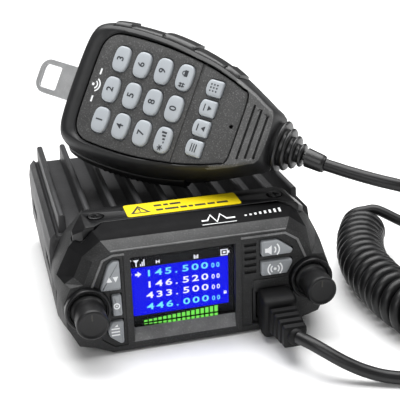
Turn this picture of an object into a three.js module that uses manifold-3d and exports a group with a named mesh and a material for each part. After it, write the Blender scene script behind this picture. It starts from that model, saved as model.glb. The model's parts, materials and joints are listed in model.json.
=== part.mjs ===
// A compact mobile radio with its hand microphone lying on the heatsink and a curly cord between them.
// Millimetres, +Z up. The frame's origin is the middle of the radio's underside.
// Inside this file the radio is drawn with its front panel at y = 0 and its rear face at y = bodyDepth;
// the outer group then moves everything forward by half the depth.
import * as THREE from "three";
import { mergeVertices } from "three/addons/utils/BufferGeometryUtils.js";
import Module from "manifold-3d";

const wasm = await Module();
wasm.setup();

// ---------- driving dimensions ----------
const gap = 0.3; // clearance between neighbouring pieces
const bodyWidth = 98;
const bodyDepth = 107;
const bezelDepth = 24.8;
const stripTop = 44.8;
const finTop = 42.9;
const finFoot = 36;
const finPitch = 9.64;
const finCount = 10;
const coverThickness = 1.6;
const wall = 2.4;

const knobX = 39.8;
const knobZ = 19.3;
const knobFront = -12.7;
const collarRadius = 7.5;

const lens = { x0: -23.9, x1: 12.2, z0: 8.8, z1: 35.5 };
const jack = { x: 26.1, z: 10.2, width: 13, height: 12 };

const mic = { yaw: 47.5, pitch: 9.6, roll: -61.2, x: -18.4, y: 57.5, z: 78.6 };
const partingZ = -13.4;
const keyRowPitch = 9.06;
const keyColumnPitch = 12.04;
const functionKeyPitch = 7.55;
const hangerZ = -11;
const bootStart = -66.3;
const bootEnd = -84.3;

const cordDiameter = 4.4;
const coilDiameter = 19.4;

const fan = { x: -22, z: 18.6, half: 12.5, hole: 11.4, rotor: 10.8, hub: 4.6 };
const antennaPlace = [30, 19];
const inlet = { x0: -2, x1: 14, z0: 10, z1: 20 };
const speakerJackPlace = [6, 27];
const speakerY = 72;
const coverScrewPlaces = [
  [-34, 30.5],
  [34, 30.5],
];
const trimScrewPlace = [32.6, 17.8];
const trimScrewSeat = 0.9;
const slots = { x0: 15.9, x1: 20.2, z: 23.3, pitch: 2.6, height: 1.2, count: 5 };

// ---------- solids ----------
function solid(geometry) {
  const plain = geometry.index ? geometry.toNonIndexed() : geometry.clone();
  plain.deleteAttribute("normal");
  plain.deleteAttribute("uv");
  const merged = mergeVertices(plain, 1e-4);
  const vertProperties = merged.attributes.position.array;
  const triVerts = new Uint32Array(merged.index.array);
  const made = new wasm.Manifold(new wasm.Mesh({ numProp: 3, vertProperties, triVerts }));
  if (made.volume() >= 0) return made;
  const turned = triVerts.slice();
  for (let i = 0; i < turned.length; i += 3) {
    turned[i] = triVerts[i + 1];
    turned[i + 1] = triVerts[i];
  }
  return new wasm.Manifold(new wasm.Mesh({ numProp: 3, vertProperties, triVerts: turned }));
}

function box(x0, x1, y0, y1, z0, z1) {
  const geometry = new THREE.BoxGeometry(x1 - x0, y1 - y0, z1 - z0);
  geometry.translate((x0 + x1) / 2, (y0 + y1) / 2, (z0 + z1) / 2);
  return solid(geometry);
}

// An outline in the named plane, drawn out along the third axis.
function prism(plane, outline, from, to) {
  const corners = (points) => points.map(([a, b]) => new THREE.Vector2(a, b));
  const shape = outline instanceof THREE.Shape ? outline : new THREE.Shape(corners(outline));
  const drawing = { depth: to - from, bevelEnabled: false, curveSegments: 6 };
  const geometry = new THREE.ExtrudeGeometry(shape, drawing);
  if (plane === "XY") geometry.translate(0, 0, from);
  if (plane === "XZ") geometry.rotateX(Math.PI / 2).translate(0, to, 0);
  if (plane === "YZ") {
    const turn = new THREE.Matrix4().makeBasis(
      new THREE.Vector3(0, 1, 0),
      new THREE.Vector3(0, 0, 1),
      new THREE.Vector3(1, 0, 0),
    );
    geometry.applyMatrix4(turn).translate(from, 0, 0);
  }
  return solid(geometry);
}

// A cylinder along one axis; centre holds its place on the other two, in X, Y, Z order.
function rod(axis, radius, from, to, [a, b], sides = 24) {
  const geometry = new THREE.CylinderGeometry(radius, radius, to - from, sides);
  const middle = (from + to) / 2;
  if (axis === "y") geometry.translate(a, middle, b);
  if (axis === "z") geometry.rotateX(Math.PI / 2).translate(a, b, middle);
  if (axis === "x") geometry.rotateZ(Math.PI / 2).translate(middle, a, b);
  return solid(geometry);
}

// A profile of [radius, y] points turned round the Y axis, then moved to (x, z).
function turned(profile, x, z, sides = 28) {
  const points = profile.map(([radius, y]) => new THREE.Vector2(radius, y));
  return solid(new THREE.LatheGeometry(points, sides).translate(x, 0, z));
}

// Rings of equal point counts joined in order, with a flat fan closing each end.
function loft(rings) {
  const count = rings[0].length;
  const positions = [];
  const index = [];
  rings.flat().forEach((p) => positions.push(p.x, p.y, p.z));
  for (let r = 0; r + 1 < rings.length; r += 1) {
    for (let i = 0; i < count; i += 1) {
      const a = r * count + i;
      const b = r * count + ((i + 1) % count);
      index.push(a, b, b + count, a, b + count, a + count);
    }
  }
  const last = (rings.length - 1) * count;
  const middle = (ring) => ring.reduce((sum, p) => sum.add(p), new THREE.Vector3()).divideScalar(count);
  [middle(rings[0]), middle(rings.at(-1))].forEach((p) => positions.push(p.x, p.y, p.z));
  const bottom = rings.length * count;
  for (let i = 0; i < count; i += 1) {
    const next = (i + 1) % count;
    index.push(bottom, next, i, bottom + 1, last + i, last + next);
  }
  const geometry = new THREE.BufferGeometry();
  geometry.setAttribute("position", new THREE.Float32BufferAttribute(positions, 3));
  geometry.setIndex(index);
  return solid(geometry);
}

// A round section drawn along a smooth curve through the points.
function tube(points, diameter, sides, steps) {
  const curve = new THREE.CatmullRomCurve3(points.map((p) => new THREE.Vector3(...p)));
  const section = new THREE.Shape();
  for (let i = 0; i < sides; i += 1) {
    const angle = (2 * Math.PI * i) / sides;
    const place = [(diameter / 2) * Math.cos(angle), (diameter / 2) * Math.sin(angle)];
    if (i === 0) section.moveTo(...place);
    else section.lineTo(...place);
  }
  return solid(new THREE.ExtrudeGeometry(section, { extrudePath: curve, steps }));
}

const joined = (...pieces) => pieces.reduce((sum, piece) => sum.add(piece));
const mirroredX = (outline) => [...outline, ...outline.map(([a, b]) => [-a, b]).reverse()];

function part(group, name, piece, material) {
  const made = piece.getMesh();
  const geometry = new THREE.BufferGeometry();
  geometry.setAttribute("position", new THREE.BufferAttribute(made.vertProperties, 3));
  geometry.setIndex(new THREE.BufferAttribute(made.triVerts, 1));
  geometry.computeVertexNormals();
  const mesh = new THREE.Mesh(geometry, material.clone());
  mesh.name = name;
  group.add(mesh);
}

function finish(color, roughness, metalness) {
  return new THREE.MeshStandardMaterial({ color, roughness, metalness });
}
const materials = {
  castBlack: finish(0x2b2c2e, 0.6, 0.5),
  bezelPlastic: finish(0x303234, 0.7, 0),
  glossBlack: finish(0x0a0a0b, 0.15, 0),
  label: finish(0xf4d40c, 0.5, 0),
  lens: finish(0x0b0c10, 0.05, 0),
  display: finish(0x1420e0, 0.3, 0),
  buttonGrey: finish(0x85898c, 0.5, 0),
  rubber: finish(0x151515, 0.8, 0),
  steel: finish(0xb9bbbd, 0.3, 0.9),
  blackScrew: finish(0x1a1a1a, 0.3, 0.8),
  board: finish(0x14532d, 0.5, 0),
  plasticBlack: finish(0x17181a, 0.5, 0),
  keyGrey: finish(0xc9ccd0, 0.5, 0),
  faceGrey: finish(0x4b4c4e, 0.7, 0.2),
  brass: finish(0xb08d3c, 0.3, 0.9),
};

// ---------- radio ----------
const capBoundary = [
  [0, 0.8],
  [32, 0.8],
  [38, 3.4],
  [43.4, 5],
  [47, 12.5],
  [47.4, 22],
  [45, 27.6],
  [40.5, 28],
  [36.9, 36.2],
  [31, 39.1],
  [0, 39.1],
];
const shoulderBoundary = [
  [0, 0.4],
  [37, 0.4],
  [41, 2],
  [45.5, 6.5],
  [49, 12],
  [49, 23],
  [48.2, 27.5],
  [46.4, 31.5],
  [43.4, 37.4],
  [36.5, 44.8],
  [0, 44.8],
];

// A closed ring in the plane y, from a right half drawn bottom to top.
function sectionRing(half, y) {
  const left = half.slice(1, -1).reverse();
  const right = half.map(([x, z]) => new THREE.Vector3(x, y, z));
  return [...right, ...left.map(([x, z]) => new THREE.Vector3(-x, y, z))];
}

function blended(from, to, share) {
  return from.map(([x, z], i) => [x + (to[i][0] - x) * share, z + (to[i][1] - z) * share]);
}

function bezelOuter() {
  const slopeEnd = blended(capBoundary, shoulderBoundary, 0.44);
  return loft([
    sectionRing(capBoundary, 0),
    sectionRing(slopeEnd, 4),
    sectionRing(shoulderBoundary, 11.6),
    sectionRing(shoulderBoundary, bezelDepth),
  ]);
}

function bezelHollow() {
  const frontRoom = mirroredX([
    [34, 3.3],
    [38, 5.8],
    [42.4, 7.4],
    [44.6, 12.8],
    [44.6, 22.4],
    [43, 25.4],
    [38.2, 26],
    [34.6, 34.6],
    [29.6, 36.9],
  ]);
  const rearRoom = mirroredX([
    [36.2, 2.7],
    [39.8, 4.2],
    [43.6, 8],
    [46.6, 12.8],
    [46.6, 22.6],
    [44.2, 30.4],
    [41.3, 36.2],
    [37, 40.1],
  ]);
  return joined(prism("XZ", frontRoom, wall, 11), prism("XZ", rearRoom, 10.5, bezelDepth + 1));
}

const leftField = [
  [-26.6, 37],
  [-26.6, 2.7],
  [-31.2, 2.7],
  [-35.4, 6],
  [-36.2, 9.6],
  [-31.9, 13.4],
  [-31.9, 25],
  [-37.4, 25.6],
  [-33.2, 35.6],
  [-30, 37],
];
const rightField = [
  [14.8, 37.1],
  [30.4, 37.1],
  [34.6, 34.2],
  [37.6, 27.4],
  [33.4, 26.8],
  [32.4, 20.6],
  [19, 20.6],
  [19, 2.9],
  [14.8, 2.9],
];
const frontButtons = {
  upper_left_button: [
    [-28, 24.9],
    [-28.1, 35.4],
    [-30.4, 35.4],
    [-32, 33.8],
    [-35, 25.4],
    [-34.7, 24.9],
  ],
  middle_left_button: [
    [-28, 15],
    [-28.1, 22.8],
    [-31.4, 22.8],
    [-31.2, 15],
  ],
  lower_left_button: [
    [-27.9, 12.9],
    [-31.9, 12.9],
    [-33.4, 9.2],
    [-32.9, 7.2],
    [-29.2, 4.1],
    [-28, 4.4],
  ],
  upper_right_button: [
    [21.8, 29.7],
    [32.6, 29.7],
    [33.3, 31.2],
    [27.7, 35.4],
    [21.8, 35.4],
  ],
  lower_right_button: [
    [21.8, 22.2],
    [31.2, 22.2],
    [33.3, 26.4],
    [32.8, 27.6],
    [21.8, 27.6],
  ],
};

// Moves each edge of an outline outwards by the amount.
function grown(outline, amount) {
  const count = outline.length;
  const doubleArea = outline.reduce((sum, [x, z], i) => {
    const [nextX, nextZ] = outline[(i + 1) % count];
    return sum + x * nextZ - nextX * z;
  }, 0);
  const edges = outline.map(([x, z], i) => {
    const [nextX, nextZ] = outline[(i + 1) % count];
    const length = Math.hypot(nextX - x, nextZ - z) * Math.sign(doubleArea);
    const normal = [(nextZ - z) / length, (x - nextX) / length];
    return { normal, reach: normal[0] * x + normal[1] * z + amount };
  });
  return outline.map((_, i) => {
    const a = edges[(i + count - 1) % count];
    const b = edges[i];
    const cross = a.normal[0] * b.normal[1] - a.normal[1] * b.normal[0];
    return [
      (a.reach * b.normal[1] - b.reach * a.normal[1]) / cross,
      (b.reach * a.normal[0] - a.reach * b.normal[0]) / cross,
    ];
  });
}

const stripPlan = mirroredX([
  [31.5, 12],
  [34.5, 9.2],
  [38.6, 8.8],
  [41.6, 12.4],
  [41.6, 15.6],
  [35.5, 25.3],
]);

// The band over the joint between bezel and heatsink, its ends folded down the shoulders.
function stripBody(margin, thickness, extraTop) {
  const profile = mirroredX([
    [0.01, stripTop - thickness],
    [35.7, stripTop - thickness],
    [41.9, 38.2 - thickness * 0.4],
    [45.4, 38.2 - thickness * 0.4],
    [45.4, stripTop + extraTop],
    [42, 41 + extraTop],
    [37.4, stripTop + extraTop],
    [0.01, stripTop + extraTop],
  ]);
  const above = prism("XZ", profile, 5, 30);
  return above.intersect(prism("XY", grown(stripPlan, margin), 30, 60));
}

function knobCollars() {
  const collar = (side) => rod("y", collarRadius, -2.4, 9, [side * knobX, knobZ], 32);
  return joined(collar(-1), collar(1));
}

function knobBore(side) {
  const place = [side * knobX, knobZ];
  return joined(
    rod("y", 6.5, -4, -0.6, place, 32),
    rod("y", 3.8, -1, 9.5, place, 20),
    rod("y", 6.9, wall, 12, place, 20),
  );
}

function screenOpening() {
  const ledge = [
    [-1, 3.6],
    [0, 3.6],
    [1.7, 8.7],
    [-1, 8.7],
  ];
  const window = box(lens.x0 - gap, lens.x1 + gap, -1, 4, lens.z0 - gap, lens.z1 + gap);
  return window.add(prism("YZ", ledge, lens.x0 - gap, lens.x1 + gap));
}

function jackOpening() {
  const { x, z, width, height } = jack;
  return box(x - width / 2 - 1, x + width / 2 + 1, -1, 4, z - height / 2 - 1, z + height / 2 + 1);
}

function slotRow() {
  const rows = Array.from({ length: slots.count }, (_, i) => slots.z + slots.pitch * i);
  return joined(...rows.map((z) => box(slots.x0, slots.x1, -1, 1.6, z, z + slots.height)));
}

function trimScrewHoles(radius, from, to) {
  const [x, y] = trimScrewPlace;
  return joined(...[-x, x].map((place) => rod("z", radius, from, to, [place, y], 20)));
}

function frontBezel() {
  const buttonHoles = Object.values(frontButtons).map((outline) => prism("XZ", grown(outline, gap), -1, 4));
  const fields = [leftField, rightField].map((field) => prism("XZ", field, -1, 0.5));
  const solidBezel = bezelOuter().add(knobCollars());
  return solidBezel
    .subtract(bezelHollow())
    .subtract(joined(knobBore(-1), knobBore(1)))
    .subtract(joined(...buttonHoles, ...fields))
    .subtract(screenOpening())
    .subtract(jackOpening())
    .subtract(slotRow())
    .subtract(stripBody(gap, 2 + gap, 3))
    .subtract(trimScrewHoles(1.5, 34, 45));
}

function topTrimStrip() {
  return stripBody(0, 2, 0)
    .subtract(trimScrewHoles(3, stripTop - trimScrewSeat - 0.02, stripTop + 1))
    .subtract(trimScrewHoles(1.7, 30, stripTop));
}

// A screw with a cross recess, its head's underside at (x, y, z), pointing down (-1) or up (1).
function screw(x, y, z, headRadius, headHeight, shankLength, direction) {
  const span = (a, b) => [z + direction * a, z + direction * b].sort((p, q) => p - q);
  const head = rod("z", headRadius, ...span(0, -headHeight), [x, y], 20);
  const shank = rod("z", headRadius * 0.45, ...span(shankLength, -0.2), [x, y], 12);
  const arm = headRadius * 0.62;
  const slit = headRadius * 0.14;
  const [low, high] = span(-headHeight * 0.5, -headHeight - 1);
  return joined(head, shank)
    .subtract(box(x - arm, x + arm, y - slit, y + slit, low, high))
    .subtract(box(x - slit, x + slit, y - arm, y + arm, low, high));
}

const finPlaces = Array.from({ length: finCount }, (_, i) => (i - (finCount - 1) / 2) * finPitch);

function heatsinkChassis() {
  const front = bezelDepth + gap;
  const outer = mirroredX([
    [37, 0.4],
    [41, 2],
    [45.5, 6.5],
    [49, 12],
    [49, 30.5],
    [48.3, 35],
    [46.4, 37.2],
    [45.6, finFoot],
  ]);
  const room = mirroredX([
    [39.6, -1],
    [39.6, 3.2],
    [43.6, 7.4],
    [46.6, 12.8],
    [46.6, 30.4],
    [44.2, 33],
  ]);
  let chassis = prism("XZ", outer, front, bodyDepth).subtract(prism("XZ", room, front - 1, bodyDepth - 3));
  for (const x of finPlaces) {
    const fin = [
      [x - 1.5, finFoot - 1],
      [x - 1.2, finTop - 0.6],
      [x - 0.6, finTop],
      [x + 0.6, finTop],
      [x + 1.2, finTop - 0.6],
      [x + 1.5, finFoot - 1],
    ];
    chassis = chassis.add(prism("XZ", fin, front + 2.2, bodyDepth));
  }
  chassis = chassis.add(box(-36, 36, front, front + 3, finFoot - 2, 42.3));
  for (const x of [-bodyWidth / 2, bodyWidth / 2]) {
    for (const y of [36, 87]) chassis = chassis.subtract(box(x - 1.2, x + 1.2, y - 8, y + 8, 19.4, 23.6));
  }
  for (const [x, y] of coverScrewPlaces) {
    chassis = chassis.add(rod("z", 3.4, 2.2, 34, [x, y], 12)).subtract(rod("z", 1.6, 1, 9, [x, y], 12));
  }
  return chassis
    .subtract(rod("y", 12, 100, 110, [fan.x, fan.z], 32))
    .subtract(rod("y", 8.2, 100, 110, antennaPlace, 24))
    .subtract(box(inlet.x0 - gap, inlet.x1 + gap, 100, 110, inlet.z0 - gap, inlet.z1 + gap))
    .subtract(rod("y", 3.4, 100, 110, speakerJackPlace, 16));
}

function bottomCover() {
  let cover = box(-39.3, 39.3, bezelDepth + 0.6, bodyDepth - 3.3, 0, coverThickness);
  for (let i = -3; i <= 3; i += 1) {
    const y = speakerY + i * 4.4;
    cover = cover.subtract(box(-16, 16, y - 0.9, y + 0.9, -1, 3));
  }
  for (const place of coverScrewPlaces) {
    cover = cover.subtract(rod("z", 3.1, -1, 0.9, place, 20)).subtract(rod("z", 1.7, -1, 3, place, 12));
  }
  return cover;
}

function knob(side) {
  const profile = [
    [0, knobFront],
    [4.2, knobFront],
    [5.1, knobFront + 0.35],
    [5.4, knobFront + 1.1],
    [5.35, -7.2],
    [5, -5.6],
    [5, -3.2],
    [6, -2.4],
    [6, -1],
    [0, -1],
  ];
  const bore = rod("y", 2.95, -8.5, 0, [side * knobX, knobZ], 20);
  return turned(profile, side * knobX, knobZ, 36).subtract(bore);
}

function encoderBody(side) {
  const [x, z] = [side * knobX, knobZ];
  const body = joined(box(x - 4.5, x + 4.5, 4.2, 10.6, z - 5, z + 5), rod("y", 3.5, 0.4, 5, [x, z], 20));
  return body.subtract(rod("y", 3, 0, 8, [x, z], 20));
}

const knobShaft = (side) => rod("y", 2.75, -8, 7.4, [side * knobX, knobZ], 20);

function frontButton(outline) {
  const cap = prism("XZ", outline, -0.9, 3);
  return cap.add(prism("XZ", grown(outline, 0.8), 2.9, 3.6).intersect(box(-36.2, 36.2, 2, 4, 3.6, 36.4)));
}

function screenLens() {
  const { x0, x1, z0, z1 } = lens;
  const flange = box(x0 - 1, x1 + 1, wall + gap, 3.5, z0 - 1, z1 + 1);
  return joined(box(x0, x1, 0.5, 3, z0, z1), flange);
}

function displayModule() {
  return box(lens.x0 - 1, lens.x1 + 1.2, 3.8, 8.4, lens.z0 - 2.4, 36.4);
}

function micSocket() {
  const { x, z, width, height } = jack;
  const [half, low, high] = [width / 2, z - height / 2, z + height / 2];
  const housing = box(x - half - 0.6, x + half + 0.6, 1, 18, low - 0.6, high + 0.6);
  return housing.subtract(box(x - half + 0.6, x + half - 0.6, 0, 15, low + 0.8, high - 1));
}

function frontBoard() {
  const outline = mirroredX([
    [33, 5],
    [43.4, 13.5],
    [43.4, 30],
    [39.8, 35],
  ]);
  const { x, z, width, height } = jack;
  const jackRoom = box(x - width / 2 - 1, x + width / 2 + 1, 11, 15, 0, z + height / 2 + 1);
  return prism("XZ", outline, 12, 13.6).subtract(jackRoom);
}

function mainBoard() {
  const board = box(-38, 38, 26, 95, 13, 14.6);
  return board.subtract(joined(...coverScrewPlaces.map(([x, y]) => rod("z", 3.9, 12, 16, [x, y], 12))));
}

function speaker() {
  const profile = [
    [0, 2.4],
    [15, 2.4],
    [17, 2.4],
    [17, 4],
    [11, 8],
    [11, 10.8],
    [0, 10.8],
  ];
  const points = profile.map(([radius, height]) => new THREE.Vector2(radius, height));
  return solid(new THREE.LatheGeometry(points, 28).rotateX(Math.PI / 2).translate(0, speakerY, 0));
}

function fanFrame() {
  const { x, z, half, hole, hub } = fan;
  const [front, spokeBack, back] = [96.4, 97.6, 103.6];
  const reach = hole + 0.5;
  const frame = box(x - half, x + half, front, back, z - half, z + half);
  return frame
    .subtract(rod("y", hole, front - 1, back + 1, [x, z], 32))
    .add(rod("y", hub, front, spokeBack, [x, z], 16))
    .add(box(x - reach, x + reach, front, spokeBack, z - 1, z + 1))
    .add(box(x - 1, x + 1, front, spokeBack, z - reach, z + reach));
}

function fanRotor() {
  const { x, z, hub, rotor } = fan;
  let wheel = rod("y", hub, 98, 103.2, [x, z], 20);
  for (let i = 0; i < 7; i += 1) {
    const blade = new THREE.BoxGeometry(rotor - hub + 1.2, 0.7, 5.6);
    blade.rotateX(0.75).translate((rotor + hub - 1.2) / 2, 0, 0);
    blade.rotateY((2 * Math.PI * i) / 7).translate(x, 100.6, z);
    wheel = wheel.add(solid(blade));
  }
  return wheel.intersect(rod("y", rotor, 98, 103.2, [x, z], 32));
}

function antennaSocket() {
  const [x, z] = antennaPlace;
  const flange = rod("y", 10.5, bodyDepth + 0.3, bodyDepth + 2, [x, z], 28);
  const barrel = rod("y", 7.8, bodyDepth - 6, bodyDepth + 12, [x, z], 28);
  return joined(flange, barrel)
    .subtract(rod("y", 5.6, bodyDepth + 3, bodyDepth + 13, [x, z], 24))
    .add(rod("y", 3.6, bodyDepth + 2, bodyDepth + 11, [x, z], 20))
    .subtract(rod("y", 2, bodyDepth + 4, bodyDepth + 13, [x, z], 16));
}

function powerInlet() {
  const { x0, x1, z0, z1 } = inlet;
  const rim = 1.4;
  const hollow = box(x0 + rim, x1 - rim, 100, bodyDepth + 5, z0 + rim, z1 - rim);
  const blade = (x) => box(x - 0.5, x + 0.5, 99.5, bodyDepth + 1, z0 + 3, z1 - 3);
  const block = box(x0, x1, 98, bodyDepth + 3, z0, z1).subtract(hollow);
  return joined(block, blade(x0 + 5), blade(x1 - 5));
}

function speakerJack() {
  const [x, z] = speakerJackPlace;
  const nose = rod("y", 3.1, 98, bodyDepth + 1.4, [x, z], 20);
  const housing = box(x - 4, x + 4, 92, 100, z - 3.5, z + 3.5);
  return joined(nose, housing).subtract(rod("y", 1.8, 94, 110, [x, z], 16));
}

const radio = new THREE.Group();
part(radio, "front_bezel", frontBezel(), materials.bezelPlastic);
part(radio, "heatsink_chassis", heatsinkChassis(), materials.castBlack);
part(radio, "bottom_cover", bottomCover(), materials.castBlack);
part(radio, "top_trim_strip", topTrimStrip(), materials.glossBlack);
part(radio, "caution_label", box(-22, 19, 13, 23.8, stripTop, stripTop + 0.2), materials.label);
part(radio, "screen_lens", screenLens(), materials.lens);
part(radio, "display_module", displayModule(), materials.display);
for (const [name, outline] of Object.entries(frontButtons)) {
  part(radio, name, frontButton(outline), materials.buttonGrey);
}
for (const [word, side] of [
  ["left", -1],
  ["right", 1],
]) {
  part(radio, `${word}_knob`, knob(side), materials.rubber);
  part(radio, `${word}_knob_shaft`, knobShaft(side), materials.steel);
  part(radio, `${word}_encoder`, encoderBody(side), materials.steel);
  const [screwX, screwY] = [side * trimScrewPlace[0], trimScrewPlace[1]];
  const trimScrew = screw(screwX, screwY, stripTop - trimScrewSeat, 2.6, 1.1, 6, -1);
  part(radio, `${word}_trim_screw`, trimScrew, materials.blackScrew);
}
coverScrewPlaces.forEach(([x, y], i) => {
  part(radio, `cover_screw_${i + 1}`, screw(x, y, 0.86, 2.6, 0.8, 5, 1), materials.blackScrew);
});
part(radio, "mic_socket", micSocket(), materials.plasticBlack);
part(radio, "front_board", frontBoard(), materials.board);
part(radio, "main_board", mainBoard(), materials.board);
part(radio, "speaker", speaker(), materials.steel);
part(radio, "fan_frame", fanFrame(), materials.plasticBlack);
part(radio, "fan_rotor", fanRotor(), materials.plasticBlack);
part(radio, "antenna_socket", antennaSocket(), materials.steel);
part(radio, "power_inlet", powerInlet(), materials.plasticBlack);
part(radio, "speaker_jack", speakerJack(), materials.plasticBlack);

// ---------- hand microphone ----------
// Its own axes: x across, y towards the hanger, z out of the keypad.
const micHalf = [
  [0, 20.6],
  [13, 20.3],
  [20.5, 19],
  [25, 15.6],
  [27.3, 8],
  [28, -4],
  [27.2, -19],
  [24.6, -33],
  [21, -43.6],
  [16.2, -53.6],
  [12.6, -60.4],
  [9.6, -65],
  [0, -66],
];
const plateHalf = [
  [0, 10.4],
  [12.5, 10.2],
  [17.6, 9],
  [20.6, 5.6],
  [21.4, 0],
  [21.4, -12],
  [20.5, -23],
  [18.9, -33.4],
  [16.6, -42.6],
  [14, -50],
  [12, -52.8],
  [0, -53.2],
];

// A full outline from its right half, moved inwards along its own normals.
function outlineRing(half, inset, z) {
  const leftHalf = half.slice(1, -1).map(([x, y]) => [-x, y]);
  const full = [...half, ...leftHalf.reverse()];
  const count = full.length;
  return full.map(([x, y], i) => {
    const [ax, ay] = full[(i + count - 1) % count];
    const [bx, by] = full[(i + 1) % count];
    const length = Math.hypot(bx - ax, by - ay);
    return new THREE.Vector3(x + (inset * (by - ay)) / length, y - (inset * (bx - ax)) / length, z);
  });
}

function shell(levels, extra = 0) {
  return loft(levels.map(([z, inset]) => outlineRing(micHalf, inset + extra, z)));
}
const frontLevels = [
  [partingZ, 0],
  [-9, 0.5],
  [-5, 1.5],
  [-2.4, 2.6],
  [-0.8, 3.9],
  [0, 5.4],
];
const backLevels = [
  [-26.6, 8.5],
  [-25, 5.2],
  [-22, 2.6],
  [-18, 0.9],
  [partingZ - gap, 0],
];
const pttZone = { x0: -40, x1: -14, y0: -36.5, y1: 15, z0: -17, z1: -10 };
const micHole = [0, -50.4];

function pttCut() {
  const { x0, x1, y0, y1, z0, z1 } = pttZone;
  return box(x0, x1, y0 - gap, y1 + gap, z0 - gap, z1 + gap);
}

function micFrontShell() {
  const inner = shell([
    [partingZ - 1, 2],
    [-9, 2.5],
    [-5, 3.4],
    [-2.4, 5],
  ]);
  const plateRoom = loft([-4, 1].map((z) => outlineRing(plateHalf, -gap, z)));
  const slot = (i) => box(-10.4 + i, 9.8 - i, -57 - 2.9 * i, -56.2 - 2.9 * i, -1, 1);
  const gripRoom = gripBlock(-1, [gripSpans.at(-1)[0] - gap, gripSpans[0][1] + gap], gap);
  return shell(frontLevels)
    .subtract(joined(inner, plateRoom))
    .subtract(joined(slot(0), slot(1), slot(2)))
    .subtract(box(-9, 6.2, 10, 24, hangerZ - 0.9, hangerZ + 0.9))
    .subtract(pttCut())
    .subtract(gripRoom);
}

function micBackShell() {
  const inner = shell([
    [-24.6, 10.4],
    [-23, 7.2],
    [-20.4, 4.6],
    [-17, 2.9],
    [partingZ + 1, 2],
  ]);
  return shell(backLevels).subtract(inner).subtract(pttCut());
}

// The rubber grip on the thumb side, in blocks that stand proud of the shell.
const gripSpans = [
  [1.5, 9],
  [-12.5, 1.5],
  [-27, -12.5],
  [-41, -27],
  [-47.5, -41],
];
function gripBlock(inset, [y0, y1], room) {
  const outerLevels = [
    [-10, 0.4],
    [-5, 1.5],
    [-2.4, 2.6],
    [-1.4, 3.4],
  ];
  const innerLevels = [
    [-11, 0.3],
    [-5, 1.5],
    [-2.4, 2.6],
    [0, 3.4],
  ];
  const skin = shell(outerLevels, inset).subtract(shell(innerLevels, 0.9 + room));
  return skin.intersect(box(8, 40, y0, y1, -9.6 - room, -1.7 + room));
}

function micGripPad() {
  return joined(...gripSpans.map(([y0, y1], i) => gripBlock(i % 2 === 0 ? -1 : -0.6, [y0, y1 + 0.01], 0)));
}

function micFacePlate() {
  let plate = loft([-2.6, -0.7].map((z) => outlineRing(plateHalf, 0, z)));
  plate = plate.subtract(box(-30, 30, -33.8, -31.6, -1.4, 1));
  for (const key of Object.values(keypad)) plate = plate.subtract(prism("XY", grown(key, gap), -4, 1));
  return plate.subtract(rod("z", 0.7, -4, 1, micHole, 12));
}

// The barrel outline of a number key and the leaf outline of a function key.
function numberKeyOutline(x, y) {
  const half = [
    [4.2, -2.3],
    [4.8, -1],
    [4.8, 1],
    [4.2, 2.3],
    [3, 2.9],
    [1, 3.2],
    [-1, 3.2],
    [-3, 2.9],
  ];
  const full = [...half, ...half.map(([a, b]) => [-a, -b])];
  return full.map(([a, b]) => [x + a, y + b]);
}
function functionKeyOutline(x, y) {
  const corners = [
    [2.1, -3.2],
    [3, -2.3],
    [3, 1.4],
    [1.2, 3.2],
    [-2.1, 3.2],
    [-3, 2.3],
    [-3, -2.3],
    [-2.1, -3.2],
  ];
  return corners.map(([a, b]) => [x + a, y + b]);
}
const keyNames = ["1", "2", "3", "4", "5", "6", "7", "8", "9", "star", "0", "hash"];
const keypad = Object.fromEntries([
  ...keyNames.map((name, i) => [
    `key_${name}`,
    numberKeyOutline(((i % 3) - 1) * keyColumnPitch, -Math.floor(i / 3) * keyRowPitch),
  ]),
  ...["menu", "up", "down", "tone"].map((name, i) => [
    `key_${name}`,
    functionKeyOutline((i - 1.5) * functionKeyPitch, -39.8),
  ]),
]);

function keyCap(outline) {
  const top = prism("XY", outline, -3.6, 0.2).add(prism("XY", grown(outline, -0.35), 0.1, 0.5));
  return top.add(prism("XY", grown(outline, 0.6), -4.2, -2.6 - gap));
}

function pttBar() {
  const { x0, x1, y0, y1, z0, z1 } = pttZone;
  const levels = [
    [z0, 1.2],
    [z0 + 1.6, 0],
    [z1 - 2.4, 0],
    [z1, 1.6],
  ];
  const outside = shell(levels, -1.5);
  const inside = shell(levels, 3.2);
  return outside.subtract(inside).intersect(box(x0, x1, y0, y1, z0, z1));
}

// An oval ring round the cord's axis at the given distance along it; the boot droops slightly to one side.
function bootRing(y, halfWidth, halfDepth) {
  const droop = -0.3 - 0.09 * (bootStart - y);
  return Array.from({ length: 22 }, (_, i) => {
    const angle = (2 * Math.PI * i) / 22;
    return new THREE.Vector3(droop + halfWidth * Math.cos(angle), y, -11.8 + halfDepth * Math.sin(angle));
  });
}

function micCordBoot() {
  const rings = [bootRing(bootStart, 8.4, 8)];
  for (let i = 0; i < 4; i += 1) {
    const y = bootStart - 0.5 - 2.7 * i;
    const width = 9.6 - 1.75 * i;
    const depth = 8.6 - 1.45 * i;
    rings.push(bootRing(y, width - 0.5, depth - 0.5));
    rings.push(bootRing(y - 0.5, width, depth));
    rings.push(bootRing(y - 1.5, width - 0.5, depth - 0.5));
    rings.push(bootRing(y - 1.9, width - 2.2, depth - 2));
  }
  rings.push(bootRing(bootStart - 11.2, 3.3, 3.3));
  rings.push(bootRing(bootEnd + 0.4, 3.3, 3.3));
  rings.push(bootRing(bootEnd, 2.9, 2.9));
  return loft(rings);
}

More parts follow.
